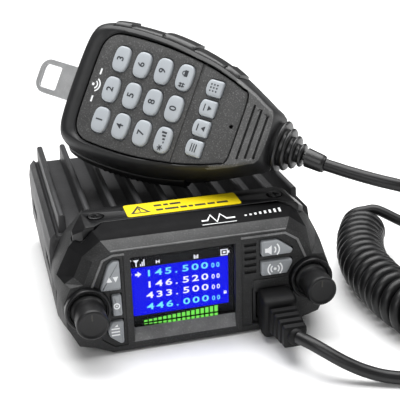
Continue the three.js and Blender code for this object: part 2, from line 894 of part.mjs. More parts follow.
function micHanger() {
  const outer = new THREE.Shape();
  outer.moveTo(-8.4, 8).lineTo(5.6, 8).lineTo(5.6, 37.4);
  outer.quadraticCurveTo(5.6, 39.4, 3.6, 39.4).lineTo(-6.4, 39.4);
  outer.quadraticCurveTo(-8.4, 39.4, -8.4, 37.4);
  const window = new THREE.Path();
  window.moveTo(-6.1, 29.6).lineTo(3.3, 29.6).lineTo(3.3, 37.2).lineTo(-6.1, 37.2);
  outer.holes.push(window);
  return prism("XY", outer, hangerZ - 0.6, hangerZ + 0.6);
}

const micBoard = () => loft([-8.6, -7.2].map((z) => outlineRing(plateHalf, 1.5, z)));

const micBody = new THREE.Group();
micBody.position.set(mic.x, mic.y, mic.z);
const radians = THREE.MathUtils.degToRad;
micBody.rotation.set(radians(mic.pitch), radians(mic.roll), radians(mic.yaw), "ZXY");
part(micBody, "mic_front_shell", micFrontShell(), materials.plasticBlack);
part(micBody, "mic_back_shell", micBackShell(), materials.plasticBlack);
part(micBody, "mic_face_plate", micFacePlate(), materials.faceGrey);
for (const [name, outline] of Object.entries(keypad)) {
  part(micBody, name, keyCap(outline), materials.keyGrey);
}
part(micBody, "ptt_bar", pttBar(), materials.rubber);
part(micBody, "mic_grip_pad", micGripPad(), materials.rubber);
part(micBody, "mic_cord_boot", micCordBoot(), materials.rubber);
part(micBody, "mic_hanger", micHanger(), materials.steel);
part(micBody, "mic_board", micBoard(), materials.board);
part(micBody, "mic_capsule", rod("z", 4.6, -7.1, -3.2, micHole, 20), materials.brass);

// ---------- cord ----------
const micLeadRoute = [
  [48.6, 8.9, 57.3],
  [55.5, 2.6, 55.7],
  [63, -3.5, 54.2],
  [71, -8, 52.5],
  [80, -10.5, 49.5],
  [90, -9, 42],
  [99, -1, 31],
  [105, 10, 21],
  [108.8, 21, 13],
  [108.5, 32, 9.5],
  [103.5, 40.5, 11.5],
  [96.5, 45.8, 14.8],
];
const coilRoute = [
  [84.5, 53],
  [78.4, 42.4],
  [73, 29.1],
  [70.1, 17.9],
  [69.5, 8.3],
  [69.6, -1],
  [70.3, -12],
  [73.3, -22.5],
  [79.5, -31.5],
  [89.5, -38],
  [101, -40],
  [112.5, -37.5],
].map(([x, y]) => [x, y, coilDiameter / 2 + 0.2]);
const plugLeadRoute = [
  [115.2, -50, 13.5],
  [113.5, -55.8, 8.6],
  [107.5, -59.4, 4.4],
  [101, -60, 2.6],
  [94, -58.5, 2.4],
  [80, -54, 2.4],
  [68, -50, 2.4],
  [62, -48.3, 2.4],
  [55.5, -46.3, 2.4],
  [49, -43.7, 2.9],
  [43, -40.8, 4.4],
  [37.5, -37.4, 6.6],
  [33, -33.6, 8.8],
  [29.5, -29.5, 10.2],
  [26.8, -24.7, 10.4],
];

// A rectangle across the plug's axis: its half width, its lowest and its highest edge.
function plugSection(halfWidth, low, high, y) {
  const corners = [
    [-halfWidth, low],
    [-halfWidth, high],
    [halfWidth, high],
    [halfWidth, low],
  ];
  return corners.map(([across, z]) => new THREE.Vector3(jack.x + across, y, z));
}

function plugRib(i) {
  const y = -10.6 - 3.5 * i;
  const shrink = 0.28 * i;
  return loft([
    plugSection(4.9 - shrink, 5.2 + shrink, 14.4 - shrink, y),
    plugSection(4.7 - shrink, 5.4 + shrink, 14.2 - shrink, y - 2.6),
  ]);
}

function micPlug() {
  const { x, z, width, height } = jack;
  const half = width / 2 - 1.1;
  const tongue = box(x - half, x + half, -2, 12, z - height / 2 + 1.3, z + height / 2 - 1.5);
  const hood = loft([
    plugSection(6, 2.6, 17.3, -0.3),
    plugSection(6.3, 2, 16.8, -6),
    plugSection(5.8, 2.4, 15.6, -9.4),
  ]);
  const core = box(x - 3, x + 3, -23, -9, 7, 13);
  return joined(tongue, hood, core, ...[0, 1, 2, 3].map(plugRib));
}

const cord = new THREE.Group();
part(cord, "mic_plug", micPlug(), materials.rubber);
part(cord, "cord_mic_lead", tube(micLeadRoute, cordDiameter, 8, 24), materials.rubber);
part(cord, "cord_coil", tube(coilRoute, coilDiameter, 12, 22), materials.rubber);
part(cord, "cord_plug_lead", tube(plugLeadRoute, cordDiameter, 8, 26), materials.rubber);

const everything = new THREE.Group();
everything.add(radio, micBody, cord);
everything.position.y = -bodyDepth / 2;
const group = new THREE.Group();
group.add(everything);
export default group;
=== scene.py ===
"""A compact mobile radio with its hand microphone and curly cord, finished in detail around the CAD frame.

Pieces are drawn in millimetres in one of two drawings: the radio's (front panel at y = 0, rear face at
y = BODY_DEPTH) or the microphone's (x across, y towards the hanger, z out of the keypad).
"""
import json
from math import cos, pi, radians, sin

import bmesh
import bpy
from mathutils import Matrix, Vector

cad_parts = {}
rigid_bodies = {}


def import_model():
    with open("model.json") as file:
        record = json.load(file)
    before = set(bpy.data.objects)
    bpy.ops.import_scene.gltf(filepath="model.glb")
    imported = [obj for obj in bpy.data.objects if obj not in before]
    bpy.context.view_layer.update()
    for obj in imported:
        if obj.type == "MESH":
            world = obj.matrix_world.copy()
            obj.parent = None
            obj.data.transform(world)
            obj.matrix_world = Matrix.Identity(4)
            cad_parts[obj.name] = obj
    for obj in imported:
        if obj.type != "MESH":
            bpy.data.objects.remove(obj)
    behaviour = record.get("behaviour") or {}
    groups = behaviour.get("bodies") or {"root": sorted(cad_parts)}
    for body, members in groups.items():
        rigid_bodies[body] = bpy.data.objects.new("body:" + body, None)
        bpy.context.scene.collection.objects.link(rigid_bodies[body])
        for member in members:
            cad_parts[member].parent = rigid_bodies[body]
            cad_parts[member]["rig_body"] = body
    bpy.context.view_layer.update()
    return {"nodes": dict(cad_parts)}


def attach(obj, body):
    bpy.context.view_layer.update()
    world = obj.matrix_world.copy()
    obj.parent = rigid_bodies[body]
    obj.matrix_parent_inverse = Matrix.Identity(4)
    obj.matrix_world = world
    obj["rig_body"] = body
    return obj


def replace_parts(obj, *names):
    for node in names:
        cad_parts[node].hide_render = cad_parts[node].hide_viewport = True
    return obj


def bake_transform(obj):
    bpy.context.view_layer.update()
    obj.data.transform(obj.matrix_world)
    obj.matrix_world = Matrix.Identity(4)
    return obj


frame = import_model()
scene = bpy.context.scene

# ---------- driving dimensions, in millimetres and degrees ----------
MM = 0.001
BODY_DEPTH = 107.0
STRIP_TOP = 44.8
KNOB_X = 39.8
KNOB_Z = 19.3
LENS = (-23.9, 12.2, 8.8, 35.5)
JACK_X = 26.1
FAN_X = -22.0
FAN_Z = 18.6

MIC_PLACE = (-18.4, 57.5, 78.6)
MIC_YAW, MIC_PITCH, MIC_ROLL = 47.5, 9.6, -61.2
KEY_COLUMN_PITCH = 12.04
KEY_ROW_PITCH = 9.06
FUNCTION_KEY_PITCH = 7.55
FUNCTION_KEY_Y = -39.8
HANGER_Z = -11.0
MIC_MIDDLE_Y = -18.0
SOUND_HOLE_Y = -50.4
BOOT_START = -66.3
BOOT_END = -84.3

CAMERA_TARGET = (12.93, 50, 32.68)
CAMERA_DISTANCE = 364.4
CAMERA_TURN = (-14.05, 22.06, -1.63)
CAMERA_VIEW = 24.35
FLOOR_REACH = 3000.0
FLOOR_DROP = 0.1

CORD_DIAMETER = 4.4
COIL_DIAMETER = 19.4
COIL_PITCH = 4.75


def shift(x, y, z):
    return Matrix.Translation((x, y, z))


def rotate(degrees, axis):
    return Matrix.Rotation(radians(degrees), 4, axis)


RADIO = shift(0, -BODY_DEPTH / 2 * MM, 0) @ Matrix.Scale(MM, 4)
MIC = (
    shift(*(RADIO @ Vector(MIC_PLACE)))
    @ rotate(MIC_YAW, "Z")
    @ rotate(MIC_PITCH, "X")
    @ rotate(MIC_ROLL, "Y")
    @ Matrix.Scale(MM, 4)
)


def added(name, data):
    """A new object in the scene."""
    made = bpy.data.objects.new(name, data)
    scene.collection.objects.link(made)
    return made


# ---------- camera, light and floor ----------
def add_camera():
    """The camera on its turn of azimuth, elevation and roll in degrees, looking at the target."""
    azimuth, elevation, roll = (radians(a) for a in CAMERA_TURN)
    flat = cos(elevation)
    back = Vector((sin(azimuth) * flat, -cos(azimuth) * flat, sin(elevation)))
    level_right = Vector((cos(azimuth), sin(azimuth), 0))
    level_up = back.cross(level_right)
    right = cos(roll) * level_right + sin(roll) * level_up
    up = cos(roll) * level_up - sin(roll) * level_right
    data = bpy.data.cameras.new("camera")
    data.angle = radians(CAMERA_VIEW)
    data.clip_start = 0.01
    camera = added("camera", data)
    turn = Matrix((right, up, back)).transposed().to_4x4()
    place = RADIO @ Vector(CAMERA_TARGET) + back * CAMERA_DISTANCE * MM
    camera.matrix_world = Matrix.Translation(place) @ turn
    scene.camera = camera


def add_softbox(name, place, target, size, power):
    data = bpy.data.lights.new(name, "AREA")
    data.shape = "RECTANGLE"
    data.size, data.size_y = size
    data.energy = power
    light = added(name, data)
    light.location = place
    light.rotation_euler = (Vector(target) - Vector(place)).to_track_quat("-Z", "Y").to_euler()


def add_studio():
    """A dim white surrounding, three soft lights and a white floor."""
    world = bpy.data.worlds.new("studio")
    scene.world = world
    world.use_nodes = True
    background = world.node_tree.nodes["Background"]
    background.inputs["Color"].default_value = (1.0, 1.0, 1.0, 1)
    background.inputs["Strength"].default_value = 0.13
    add_softbox("overhead", (0.05, 0.2, 0.9), (0, 0, 0.02), (1.1, 0.9), 19)
    add_softbox("key", (-0.55, -0.75, 0.6), (0, 0, 0.04), (0.5, 0.5), 3.0)
    add_softbox("right", (0.9, -0.15, 0.5), (0, 0, 0.05), (0.25, 0.7), 3)
    scene.view_settings.view_transform = "Standard"
    mesh = bpy.data.meshes.new("floor")
    reach = FLOOR_REACH * MM
    corners = [(-reach, -reach, 0), (reach, -reach, 0), (reach, reach, 0), (-reach, reach, 0)]
    mesh.from_pydata(corners, [], [(0, 1, 2, 3)])
    floor = added("floor", mesh)
    floor.location.z = -FLOOR_DROP * MM
    mesh.materials.append(surface("floor_white", (0.93, 0.93, 0.93), 0.7, vary=0.01))


# ---------- materials ----------
def noise(tree, size, detail):
    """Soft noise over the object, with blotches of about the size in millimetres."""
    texture = tree.nodes.new("ShaderNodeTexNoise")
    texture.inputs["Scale"].default_value = 1 / (size * MM)
    texture.inputs["Detail"].default_value = detail
    coords = tree.nodes.new("ShaderNodeTexCoord").outputs["Object"]
    tree.links.new(coords, texture.inputs["Vector"])
    return texture.outputs["Fac"]


def ramp(tree, value, low, high, stops):
    """The first stop's colour where the value is low, the second's where it is high."""
    node = tree.nodes.new("ShaderNodeValToRGB")
    for element, position, stop in zip(node.color_ramp.elements, (low, high), stops):
        element.position = position
        element.color = (*stop, 1)
    tree.links.new(value, node.inputs["Fac"])
    return node.outputs["Color"]


def surface(
    name, colour, rough, metal=0.0, vary=0.12, grain=0.0, grain_size=0.5, speck=0.0, shine=0.5
):
    """A finish with slow colour changes, uneven gloss and, if asked, a moulded grain and bright specks."""
    made = bpy.data.materials.new(name)
    made.use_nodes = True
    tree = made.node_tree
    shader = tree.nodes["Principled BSDF"]
    shader.inputs["Metallic"].default_value = metal
    shader.inputs["Specular IOR Level"].default_value = shine
    dark = [c * (1 - vary) for c in colour]
    light = [min(1.0, c * (1 + vary)) for c in colour]
    base = ramp(tree, noise(tree, 7.0, 4), 0.35, 0.65, (dark, light))
    if speck:
        fleck = ramp(tree, noise(tree, grain_size, 2), 0.55, 0.72, ((0, 0, 0), (speck, speck, speck)))
        add = tree.nodes.new("ShaderNodeMixRGB")
        add.blend_type = "ADD"
        add.inputs["Fac"].default_value = 1.0
        tree.links.new(base, add.inputs["Color1"])
        tree.links.new(fleck, add.inputs["Color2"])
        base = add.outputs["Color"]
    tree.links.new(base, shader.inputs["Base Color"])
    gloss = tree.nodes.new("ShaderNodeMapRange")
    gloss.inputs["To Min"].default_value = rough * 0.85
    gloss.inputs["To Max"].default_value = min(1.0, rough * 1.15)
    tree.links.new(noise(tree, 3.0, 5), gloss.inputs["Value"])
    tree.links.new(gloss.outputs["Result"], shader.inputs["Roughness"])
    if grain:
        bump = tree.nodes.new("ShaderNodeBump")
        bump.inputs["Strength"].default_value = grain
        bump.inputs["Distance"].default_value = 0.12 * MM
        tree.links.new(noise(tree, grain_size, 3), bump.inputs["Height"])
        tree.links.new(bump.outputs["Normal"], shader.inputs["Normal"])
    return made


def lit(name, colour):
    """A lit part of the display, slightly uneven, as a backlight is."""
    made = surface(name, [c * 0.05 for c in colour], 0.5, shine=0.0)
    tree = made.node_tree
    shader = tree.nodes["Principled BSDF"]
    glow = ramp(tree, noise(tree, 1000 / 60, 2), 0, 1, ([c * 0.93 for c in colour], colour))
    tree.links.new(glow, shader.inputs["Emission Color"])
    shader.inputs["Emission Strength"].default_value = 1.0
    return made


def clear_glass():
    made = surface("screen_glass", (0.95, 0.96, 1.0), 0.03, vary=0.01, shine=0.2)
    shader = made.node_tree.nodes["Principled BSDF"]
    shader.inputs["Transmission Weight"].default_value = 1.0
    shader.inputs["IOR"].default_value = 1.12
    return made


add_camera()
add_studio()

CHASSIS = surface("cast_black", (0.034, 0.034, 0.0355), 0.5, metal=0.2, grain=0.6, shine=0.4)
BEZEL = surface("bezel_grey", (0.024, 0.0243, 0.0247), 0.55, grain=0.9, speck=0.035, shine=0.3)
# A lighter copy of the bezel grey: painted highlight on upward faces, on the field rims and on the frame's
# top-edge line.
BEZEL_HIGHLIGHT = surface("bezel_painted_highlight", (0.15, 0.151, 0.152), 0.55, vary=0.2, grain=0.9, speck=0.07, shine=0.35)
GLOSS = surface("gloss_black", (0.004, 0.004, 0.0045), 0.33, vary=0.3, shine=0.3)
# A darker copy of the bezel grey: painted shade on the shoulder facets beside the knobs.
SHOULDER_SHADE = surface("shoulder_painted_shade", (0.014, 0.0141, 0.0145), 0.6, grain=0.8, speck=0.015, shine=0.2)
# A lighter copy of the bezel grey: painted highlight on the middle of the frame's top.
RIDGE_HIGHLIGHT = surface("ridge_painted_highlight", (0.05, 0.0505, 0.051), 0.55, grain=0.9, speck=0.04, shine=0.3)
BAND = surface("band_black", (0.008, 0.008, 0.0085), 0.65, grain=0.2, shine=0.06)
YELLOW = surface("label_yellow", (0.8, 0.62, 0.008), 0.45, vary=0.04, shine=0.3)
INK = surface("label_ink", (0.03, 0.028, 0.02), 0.5)
BUTTON = surface("button_grey", (0.295, 0.311, 0.327), 0.42, vary=0.06, grain=0.15)
MARK = surface("mark_white", (0.9, 0.91, 0.92), 0.45, vary=0.03)
KNOB = surface("knob_black", (0.009, 0.009, 0.0095), 0.42, grain=0.12, grain_size=0.3, shine=0.28)
RUBBER = surface("rubber_black", (0.01, 0.01, 0.0105), 0.36, grain=0.2, shine=0.5)
CORD = surface("cord_black", (0.006, 0.006, 0.0065), 0.38, grain=0.1, grain_size=0.7, shine=0.38)
STEEL = surface("plated_steel", (0.62, 0.62, 0.63), 0.28, metal=1.0, vary=0.05, grain=0.08)
BLACK_SCREW = surface("black_screw", (0.03, 0.03, 0.031), 0.25, metal=0.8)
BOARD = surface("board_green", (0.02, 0.14, 0.05), 0.35, vary=0.25)
PLASTIC = surface("black_plastic", (0.014, 0.0143, 0.015), 0.45, grain=0.3, shine=0.35)
PLUG = surface("plug_black", (0.005, 0.005, 0.0054), 0.55, grain=0.25, shine=0.2)
KEY = surface("key_grey", (0.42, 0.45, 0.48), 0.45, vary=0.03, grain=0.08)
LEGEND = surface("key_legend", (0.03, 0.033, 0.04), 0.5)
FACE = surface("face_grey", (0.055, 0.055, 0.055), 0.5, grain=1.0, speck=0.1, shine=0.4)
BRASS = surface("capsule_brass", (0.7, 0.55, 0.25), 0.3, metal=1.0)
HANGER = surface("hanger_steel", (0.5, 0.505, 0.51), 0.4, metal=0.7, grain=0.5, grain_size=0.6, speck=0.05)
GLASS = clear_glass()
SCREEN_BLUE = lit("screen_blue", (0.004, 0.006, 0.85))
SCREEN_CYAN = lit("screen_cyan", (0.2, 0.85, 0.95))
SCREEN_WHITE = lit("screen_white", (0.95, 0.96, 1.0))
SCREEN_GREEN = lit("screen_green", (0.2, 0.85, 0.1))
SCREEN_BLACK = surface("screen_black", (0.002, 0.002, 0.0025), 0.5, shine=0.1)
NOSE = surface("nose_grey", (0.085, 0.085, 0.085), 0.5, grain=1.0, speck=0.1, shine=0.4)


# ---------- outlines ----------
def circle(sides):
    """Cosine and sine at even steps once round."""
    turns = [2 * pi * i / sides for i in range(sides)]
    return [(cos(turn), sin(turn)) for turn in turns]


def catmull(a, b, c, d, t):
    """The point at share t between b and c on a smooth curve through a, b, c and d."""
    return 0.5 * (
        2 * b + (c - a) * t + (2 * a - 5 * b + 4 * c - d) * t * t + (3 * b - a - 3 * c + d) * t * t * t
    )


def smooth_loop(points, steps):
    """A smooth closed line through the points."""
    points = [Vector(p) for p in points]
    loop = [points[-1], *points, *points[:2]]
    return [catmull(*loop[i : i + 4], k / steps) for i in range(len(points)) for k in range(steps)]


def smooth_line(points, steps):
    """A smooth line from the first point to the last."""
    points = [Vector(p) for p in points]
    ends = [2 * points[0] - points[1], *points, 2 * points[-1] - points[-2]]
    line = [catmull(*ends[i : i + 4], k / steps) for i in range(len(points) - 1) for k in range(steps)]
    return [*line, points[-1]]


def even_line(points, spacing):
    """The same line with its points the same distance apart."""
    marks = [0.0]
    for a, b in zip(points, points[1:]):
        marks.append(marks[-1] + (b - a).length)
    count = max(2, round(marks[-1] / spacing))
    line, i = [], 0
    for k in range(count + 1):
        reach = marks[-1] * k / count
        while i < len(points) - 2 and marks[i + 1] < reach:
            i += 1
        share = (reach - marks[i]) / (marks[i + 1] - marks[i])
        line.append(points[i].lerp(points[i + 1], min(1.0, share)))
    return line


def mirrored(half):
    """A full loop from its right half, which starts and ends on x = 0."""
    return [*half, *[(-x, y) for x, y in reversed(half[1:-1])]]


def round_corners(corners, radius, steps=4):
    corners = [Vector(c) for c in corners]
    outline = []
    for i, corner in enumerate(corners):
        before, after = corners[i - 1] - corner, corners[(i + 1) % len(corners)] - corner
        start = corner + before.normalized() * min(radius, before.length * 0.48)
        end = corner + after.normalized() * min(radius, after.length * 0.48)
        for k in range(steps + 1):
            t = k / steps
            outline.append((1 - t) ** 2 * start + 2 * t * (1 - t) * corner + t * t * end)
    return outline


def loop_area(outline):
    sides = zip(outline, [*outline[1:], outline[0]])
    return sum(a[0] * b[1] - b[0] * a[1] for a, b in sides) / 2


def grown(outline, amount):
    """The outline with each point moved outwards along its own normal."""
    sign = 1 if loop_area(outline) > 0 else -1
    count = len(outline)
    moved = []
    for i in range(count):
        here = Vector(outline[i][:2])
        into = (here - Vector(outline[i - 1][:2])).normalized()
        out_of = (Vector(outline[(i + 1) % count][:2]) - here).normalized()
        along = (into + out_of).normalized()
        stretch = 1 / max(0.5, along.dot(out_of))
        moved.append(here + Vector((along.y, -along.x)) * sign * amount * stretch)
    return moved


# ---------- meshes ----------
LAYOUTS = {
    "XY": lambda a, b, c: (a, b, c),
    "XZ": lambda a, b, c: (a, c, b),
    "YZ": lambda a, b, c: (c, a, b),
}


def loft(rings, ring_closed=False):
    """Points and faces of rings joined in order, closed by a flat face at each end or back to the start."""
    count = len(rings[0])
    points = [p for ring in rings for p in ring]
    pairs = list(zip(range(len(rings)), range(1, len(rings))))
    if ring_closed:
        pairs.append((len(rings) - 1, 0))
    faces = []
    for low, high in pairs:
        for i in range(count):
            j = (i + 1) % count
            faces.append((low * count + i, low * count + j, high * count + j, high * count + i))
    if not ring_closed:
        faces.append(tuple(range(count)))
        faces.append(tuple((len(rings) - 1) * count + i for i in range(count)))
    return points, faces


def prism(plane, outline, low, high):
    lay = LAYOUTS[plane]
    return loft([[lay(a, b, c) for a, b in outline] for c in (low, high)])


def block(x0, x1, y0, y1, z0, z1):
    return prism("XY", [(x0, y0), (x1, y0), (x1, y1), (x0, y1)], z0, z1)


def border(plane, outer, inner, low, high):
    """A flat frame between two outlines of the same point count."""
    lay = LAYOUTS[plane]
    loops = [(outer, low), (outer, high), (inner, high), (inner, low)]
    return loft([[lay(a, b, level) for a, b in loop] for loop, level in loops], ring_closed=True)


def lathe(profile, x, z, sides=64, hollow=False):
    """A profile of (radius, y) points turned round the line along Y through (x, z)."""
    rings = [[(x + radius * a, y, z + radius * b) for a, b in circle(sides)] for radius, y in profile]
    return loft(rings, ring_closed=hollow)


def lathe_z(profile, x, y, sides=24):
    """A profile of (radius, z) points turned round the line along Z through (x, y)."""
    return loft([[(x + radius * a, y + radius * b, z) for a, b in circle(sides)] for radius, z in profile])


def merged(*shapes):
    points, faces = [], []
    for shape_points, shape_faces in shapes:
        start = len(points)
        points.extend(shape_points)
        faces.extend(tuple(start + i for i in face) for face in shape_faces)
    return points, faces


def rework(mesh, *steps):
    """Runs each step on an editable copy of the mesh, then puts the result back."""
    work = bmesh.new()
    work.from_mesh(mesh)
    for step in steps:
        step(work)
    work.to_mesh(mesh)
    work.free()


def face_outwards(work):
    bmesh.ops.recalc_face_normals(work, faces=work.faces)


def drop_doubles(work):
    bmesh.ops.remove_doubles(work, verts=work.verts, dist=0.003 * MM)


def drop_tiny_edges(work):
    bmesh.ops.dissolve_degenerate(work, edges=work.edges, dist=0.01 * MM)


def merge_flat_faces(work):
    bmesh.ops.dissolve_limit(work, angle_limit=radians(1.0), verts=work.verts, edges=work.edges)


def piece(name, shape, place, material, body=None, sharp=35):
    """A new object from points in millimetres. Edges over the sharp angle stay hard in its shading."""
    points, faces = shape
    mesh = bpy.data.meshes.new(name)
    mesh.from_pydata([place @ Vector(p) for p in points], [], faces)
    rework(mesh, face_outwards)
    mesh.shade_smooth()
    mesh.set_sharp_from_angle(angle=radians(sharp))
    mesh.materials.append(material)
    made = added(name, mesh)
    if body:
        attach(made, body)
    return made


def rounded(made, width, segments=3, angle=30):
    """Rounds every edge that is steeper than the angle."""
    bevel = made.modifiers.new("rounded", "BEVEL")
    bevel.width = width * MM
    bevel.segments = segments
    bevel.limit_method = "ANGLE"
    bevel.angle_limit = radians(angle)
    bevel.harden_normals = True
    bevel.use_clamp_overlap = False
    made.data.shade_smooth()
    for edge in made.data.edges:
        edge.use_edge_sharp = False
    return made


def carve(made, *shapes, place=RADIO):
    """Cuts the shapes out of the piece, one after the other."""
    for shape in shapes:
        tool = piece("tool", shape, place, made.data.materials[0])
        change = made.modifiers.new("carve", "BOOLEAN")
        change.operation = "DIFFERENCE"
        change.solver = "EXACT"
        change.object = tool
        graph = bpy.context.evaluated_depsgraph_get()
        mesh = bpy.data.meshes.new_from_object(made.evaluated_get(graph))
        made.modifiers.clear()
        made.data = mesh
        bpy.data.objects.remove(tool)


def copied(node, material, name=None):
    """A copy of a CAD node with its flat faces merged, which stands for the node."""
    source = frame["nodes"][node]
    mesh = source.data.copy()
    rework(mesh, drop_doubles, drop_tiny_edges, merge_flat_faces, face_outwards)
    mesh.materials.clear()
    mesh.materials.append(material)
    mesh.shade_smooth()
    mesh.set_sharp_from_angle(angle=radians(30))
    made = added(name or node + "_finished", mesh)
    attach(made, source["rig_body"])
    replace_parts(made, node)
    return made


def tube(path, radius, sides=12):
    """Rings round a path in metres, each turned as little as possible from the one before it."""
    rings = []
    tangent = (path[1] - path[0]).normalized()
    side = tangent.orthogonal().normalized()
    for i, place in enumerate(path):
        ahead = (path[min(i + 1, len(path) - 1)] - path[max(i - 1, 0)]).normalized()
        side = (side - ahead * side.dot(ahead)).normalized()
        across = ahead.cross(side)
        rings.append([place + (side * a + across * b) * radius for a, b in circle(sides)])
    return loft(rings)


# ---------- cord ----------
MIC_LEAD_ROUTE = [
    (48.6, 8.9, 57.3), (55.5, 2.6, 55.7), (63, -3.5, 54.2), (71, -8, 52.5), (80, -10.5, 49.5),
    (90, -9, 42), (99, -1, 31), (105, 10, 21), (108.8, 21, 13), (108.5, 32, 9.5), (103.5, 40.5, 11.5),
    (96.5, 45.8, 14.8),
]
COIL_ROUTE = [
    (84.5, 53), (78.4, 42.4), (73, 29.1), (70.1, 17.9), (69.5, 8.3), (69.6, -1), (70.3, -12),
    (73.3, -22.5), (79.5, -31.5), (89.5, -38), (101, -40), (112.5, -37.5),
]
PLUG_LEAD_ROUTE = [
    (115.2, -50, 13.5), (113.5, -55.8, 8.6), (107.5, -59.4, 4.4), (101, -60, 2.6), (94, -58.5, 2.4),
    (80, -54, 2.4), (68, -50, 2.4), (62, -48.3, 2.4), (55.5, -46.3, 2.4), (49, -43.7, 2.9),
    (43, -40.8, 4.4), (37.5, -37.4, 6.6), (33, -33.6, 8.8), (29.5, -29.5, 10.2), (26.8, -24.7, 10.4),
]


def coil_helix():
    """The curly cord's turns round the coil's middle line, starting and ending on top of it."""
    height = COIL_DIAMETER / 2 + 0.2
    middle = even_line(smooth_line([(x, y, height) for x, y in COIL_ROUTE], 12), 0.25)
    radius = (COIL_DIAMETER - CORD_DIAMETER) / 2 - 0.05
    spacing = (middle[1] - middle[0]).length
    turns = round(spacing * (len(middle) - 1) / COIL_PITCH)
    helix = []
    for i, place in enumerate(middle):
        tangent = (middle[min(i + 1, len(middle) - 1)] - middle[max(i - 1, 0)]).normalized()
        side = Vector((0, 0, 1)).cross(tangent)
        angle = 2 * pi * turns * i / (len(middle) - 1)
        helix.append(place + (Vector((0, 0, 1)) * cos(angle) - side * sin(angle)) * radius)
    return helix


def add_cord():
    helix = coil_helix()
    into_coil = (helix[1] - helix[0]).normalized()
    out_of_coil = (helix[-1] - helix[-2]).normalized()
    lead_in = smooth_line([*MIC_LEAD_ROUTE, helix[0] - into_coil * 5, helix[0]], 8)
    lead_out = smooth_line([helix[-1], helix[-1] + out_of_coil * 5, *PLUG_LEAD_ROUTE], 8)
    line = [*lead_in[:-1], *helix, *lead_out[1:]]
    resting = CORD_DIAMETER / 2 + 0.05
    path = [RADIO @ Vector((p.x, p.y, max(p.z, resting))) for p in even_line(line, 1.3)]
    length = sum((b - a).length for a, b in zip(path, path[1:]))
    shape = tube(path, CORD_DIAMETER / 2 * MM)
    cord = piece("curly_cord", shape, Matrix.Identity(4), CORD)
    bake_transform(cord)
    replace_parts(cord, "cord_mic_lead", "cord_coil", "cord_plug_lead")
    return cord, path, length


cord, cord_path, cord_length = add_cord()


# ---------- microphone plug ----------
def plug_section(half_width, low, high, radius, y):
    """A rounded rectangle across the plug, from its lowest edge to its highest."""
    corners = [(-half_width, low), (half_width, low), (half_width, high), (-half_width, high)]
    return [(JACK_X + a, y, b) for a, b in round_corners(corners, radius)]


def plug_rib(i):
    """One of the ribs behind the plug's hood, each smaller than the one before it."""
    y = -10.5 - 3.5 * i
    shrink = 0.28 * i
    sections = []
    for half, back in ((4.4, 0), (4.9, 0.35), (4.8, 2.3), (4.3, 2.65)):
        low, high = 10.1 - half + shrink, 9.6 + half - 0.8 * shrink
        sections.append(plug_section(half - shrink, low, high, 0.9, y - back))
    return loft(sections)


def add_plug():
    sections = (
        (5.3, 3.3, 16.6, 1.2, -0.3), (5.9, 2.7, 17.2, 1.4, -0.7), (6.3, 2.0, 16.8, 1.6, -6.0),
        (6.1, 2.1, 16.1, 1.6, -8.2), (5.6, 2.6, 15.4, 1.6, -9.2), (4.7, 3.6, 14.5, 1.4, -9.5),
    )
    hood = loft([plug_section(*section) for section in sections])
    ribs = [plug_rib(i) for i in range(4)]
    core = loft([plug_section(3.2, 6.8, 13.2, 1.2, y) for y in (-9.0, -23.4)])
    collar_profile = [(1.0, -20), (3.1, -22), (3.0, -24.0), (2.55, -24.9), (2.25, -25.1)]
    collar = lathe(collar_profile, JACK_X, 10.2, 32)
    plug = piece("microphone_plug", merged(hood, core, collar, *ribs), RADIO, PLUG, "radio", sharp=50)
    tongue_shape = block(JACK_X - 5.4, JACK_X + 5.4, -1, 12, 5.5, 14.7)
    tongue = piece("plug_tongue", tongue_shape, RADIO, PLASTIC, "radio")
    rounded(tongue, 0.4)
    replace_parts(plug, "mic_plug")
    return plug


plug = add_plug()


# ---------- marks, cut as thin flat shapes ----------
def disc(a, b, radius, sides=24):
    return [(a + radius * x, b + radius * y) for x, y in circle(sides)]


def bar(a0, a1, b0, b1):
    return [(a0, b0), (a1, b0), (a1, b1), (a0, b1)]


def arc_band(a, b, radius, width, start, stop, steps=12):
    """Part of a ring between two angles in degrees."""
    angles = [radians(start + (stop - start) * i / steps) for i in range(steps + 1)]
    outer, inner = (
        [(a + reach * cos(t), b + reach * sin(t)) for t in angles]
        for reach in (radius + width / 2, radius - width / 2)
    )
    return outer + inner[::-1]


def ribbon(points, width):
    """The outline of a line of some width through the points."""
    points = [Vector(p) for p in points]
    left, right = [], []
    for i, here in enumerate(points):
        ahead = (points[min(i + 1, len(points) - 1)] - points[max(i - 1, 0)]).normalized()
        across = Vector((-ahead.y, ahead.x)) * width / 2
        left.append(here + across)
        right.append(here - across)
    return left + right[::-1]


def mark(name, plane, outlines, low, high, place, material, body):
    shape = merged(*[prism(plane, outline, low, high) for outline in outlines])
    return piece(name, shape, place, material, body)


def figures(name, entries, place, material, body):
    """Figures from entries of (text, x, y, size, stretch), all in one piece."""
    whole = bmesh.new()
    for text, x, y, size, stretch in entries:
        curve = bpy.data.curves.new(name, "FONT")
        curve.body = text
        curve.size = size
        curve.align_x = curve.align_y = "CENTER"
        curve.extrude = 0.03
        curve.offset = 0.05 * size / 3
        curve.resolution_u = 3
        source = added(name, curve)
        graph = bpy.context.evaluated_depsgraph_get()
        mesh = bpy.data.meshes.new_from_object(source.evaluated_get(graph))
        bpy.data.objects.remove(source)
        mesh.transform(shift(x, y, 0) @ Matrix.Diagonal((stretch, 1, 1, 1)))
        whole.from_mesh(mesh)
    mesh = bpy.data.meshes.new(name)
    whole.transform(place)
    whole.to_mesh(mesh)
    whole.free()
    mesh.materials.append(material)
    mesh.polygons.foreach_set("material_index", [0] * len(mesh.polygons))
    made = added(name, mesh)
    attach(made, body)
    return made


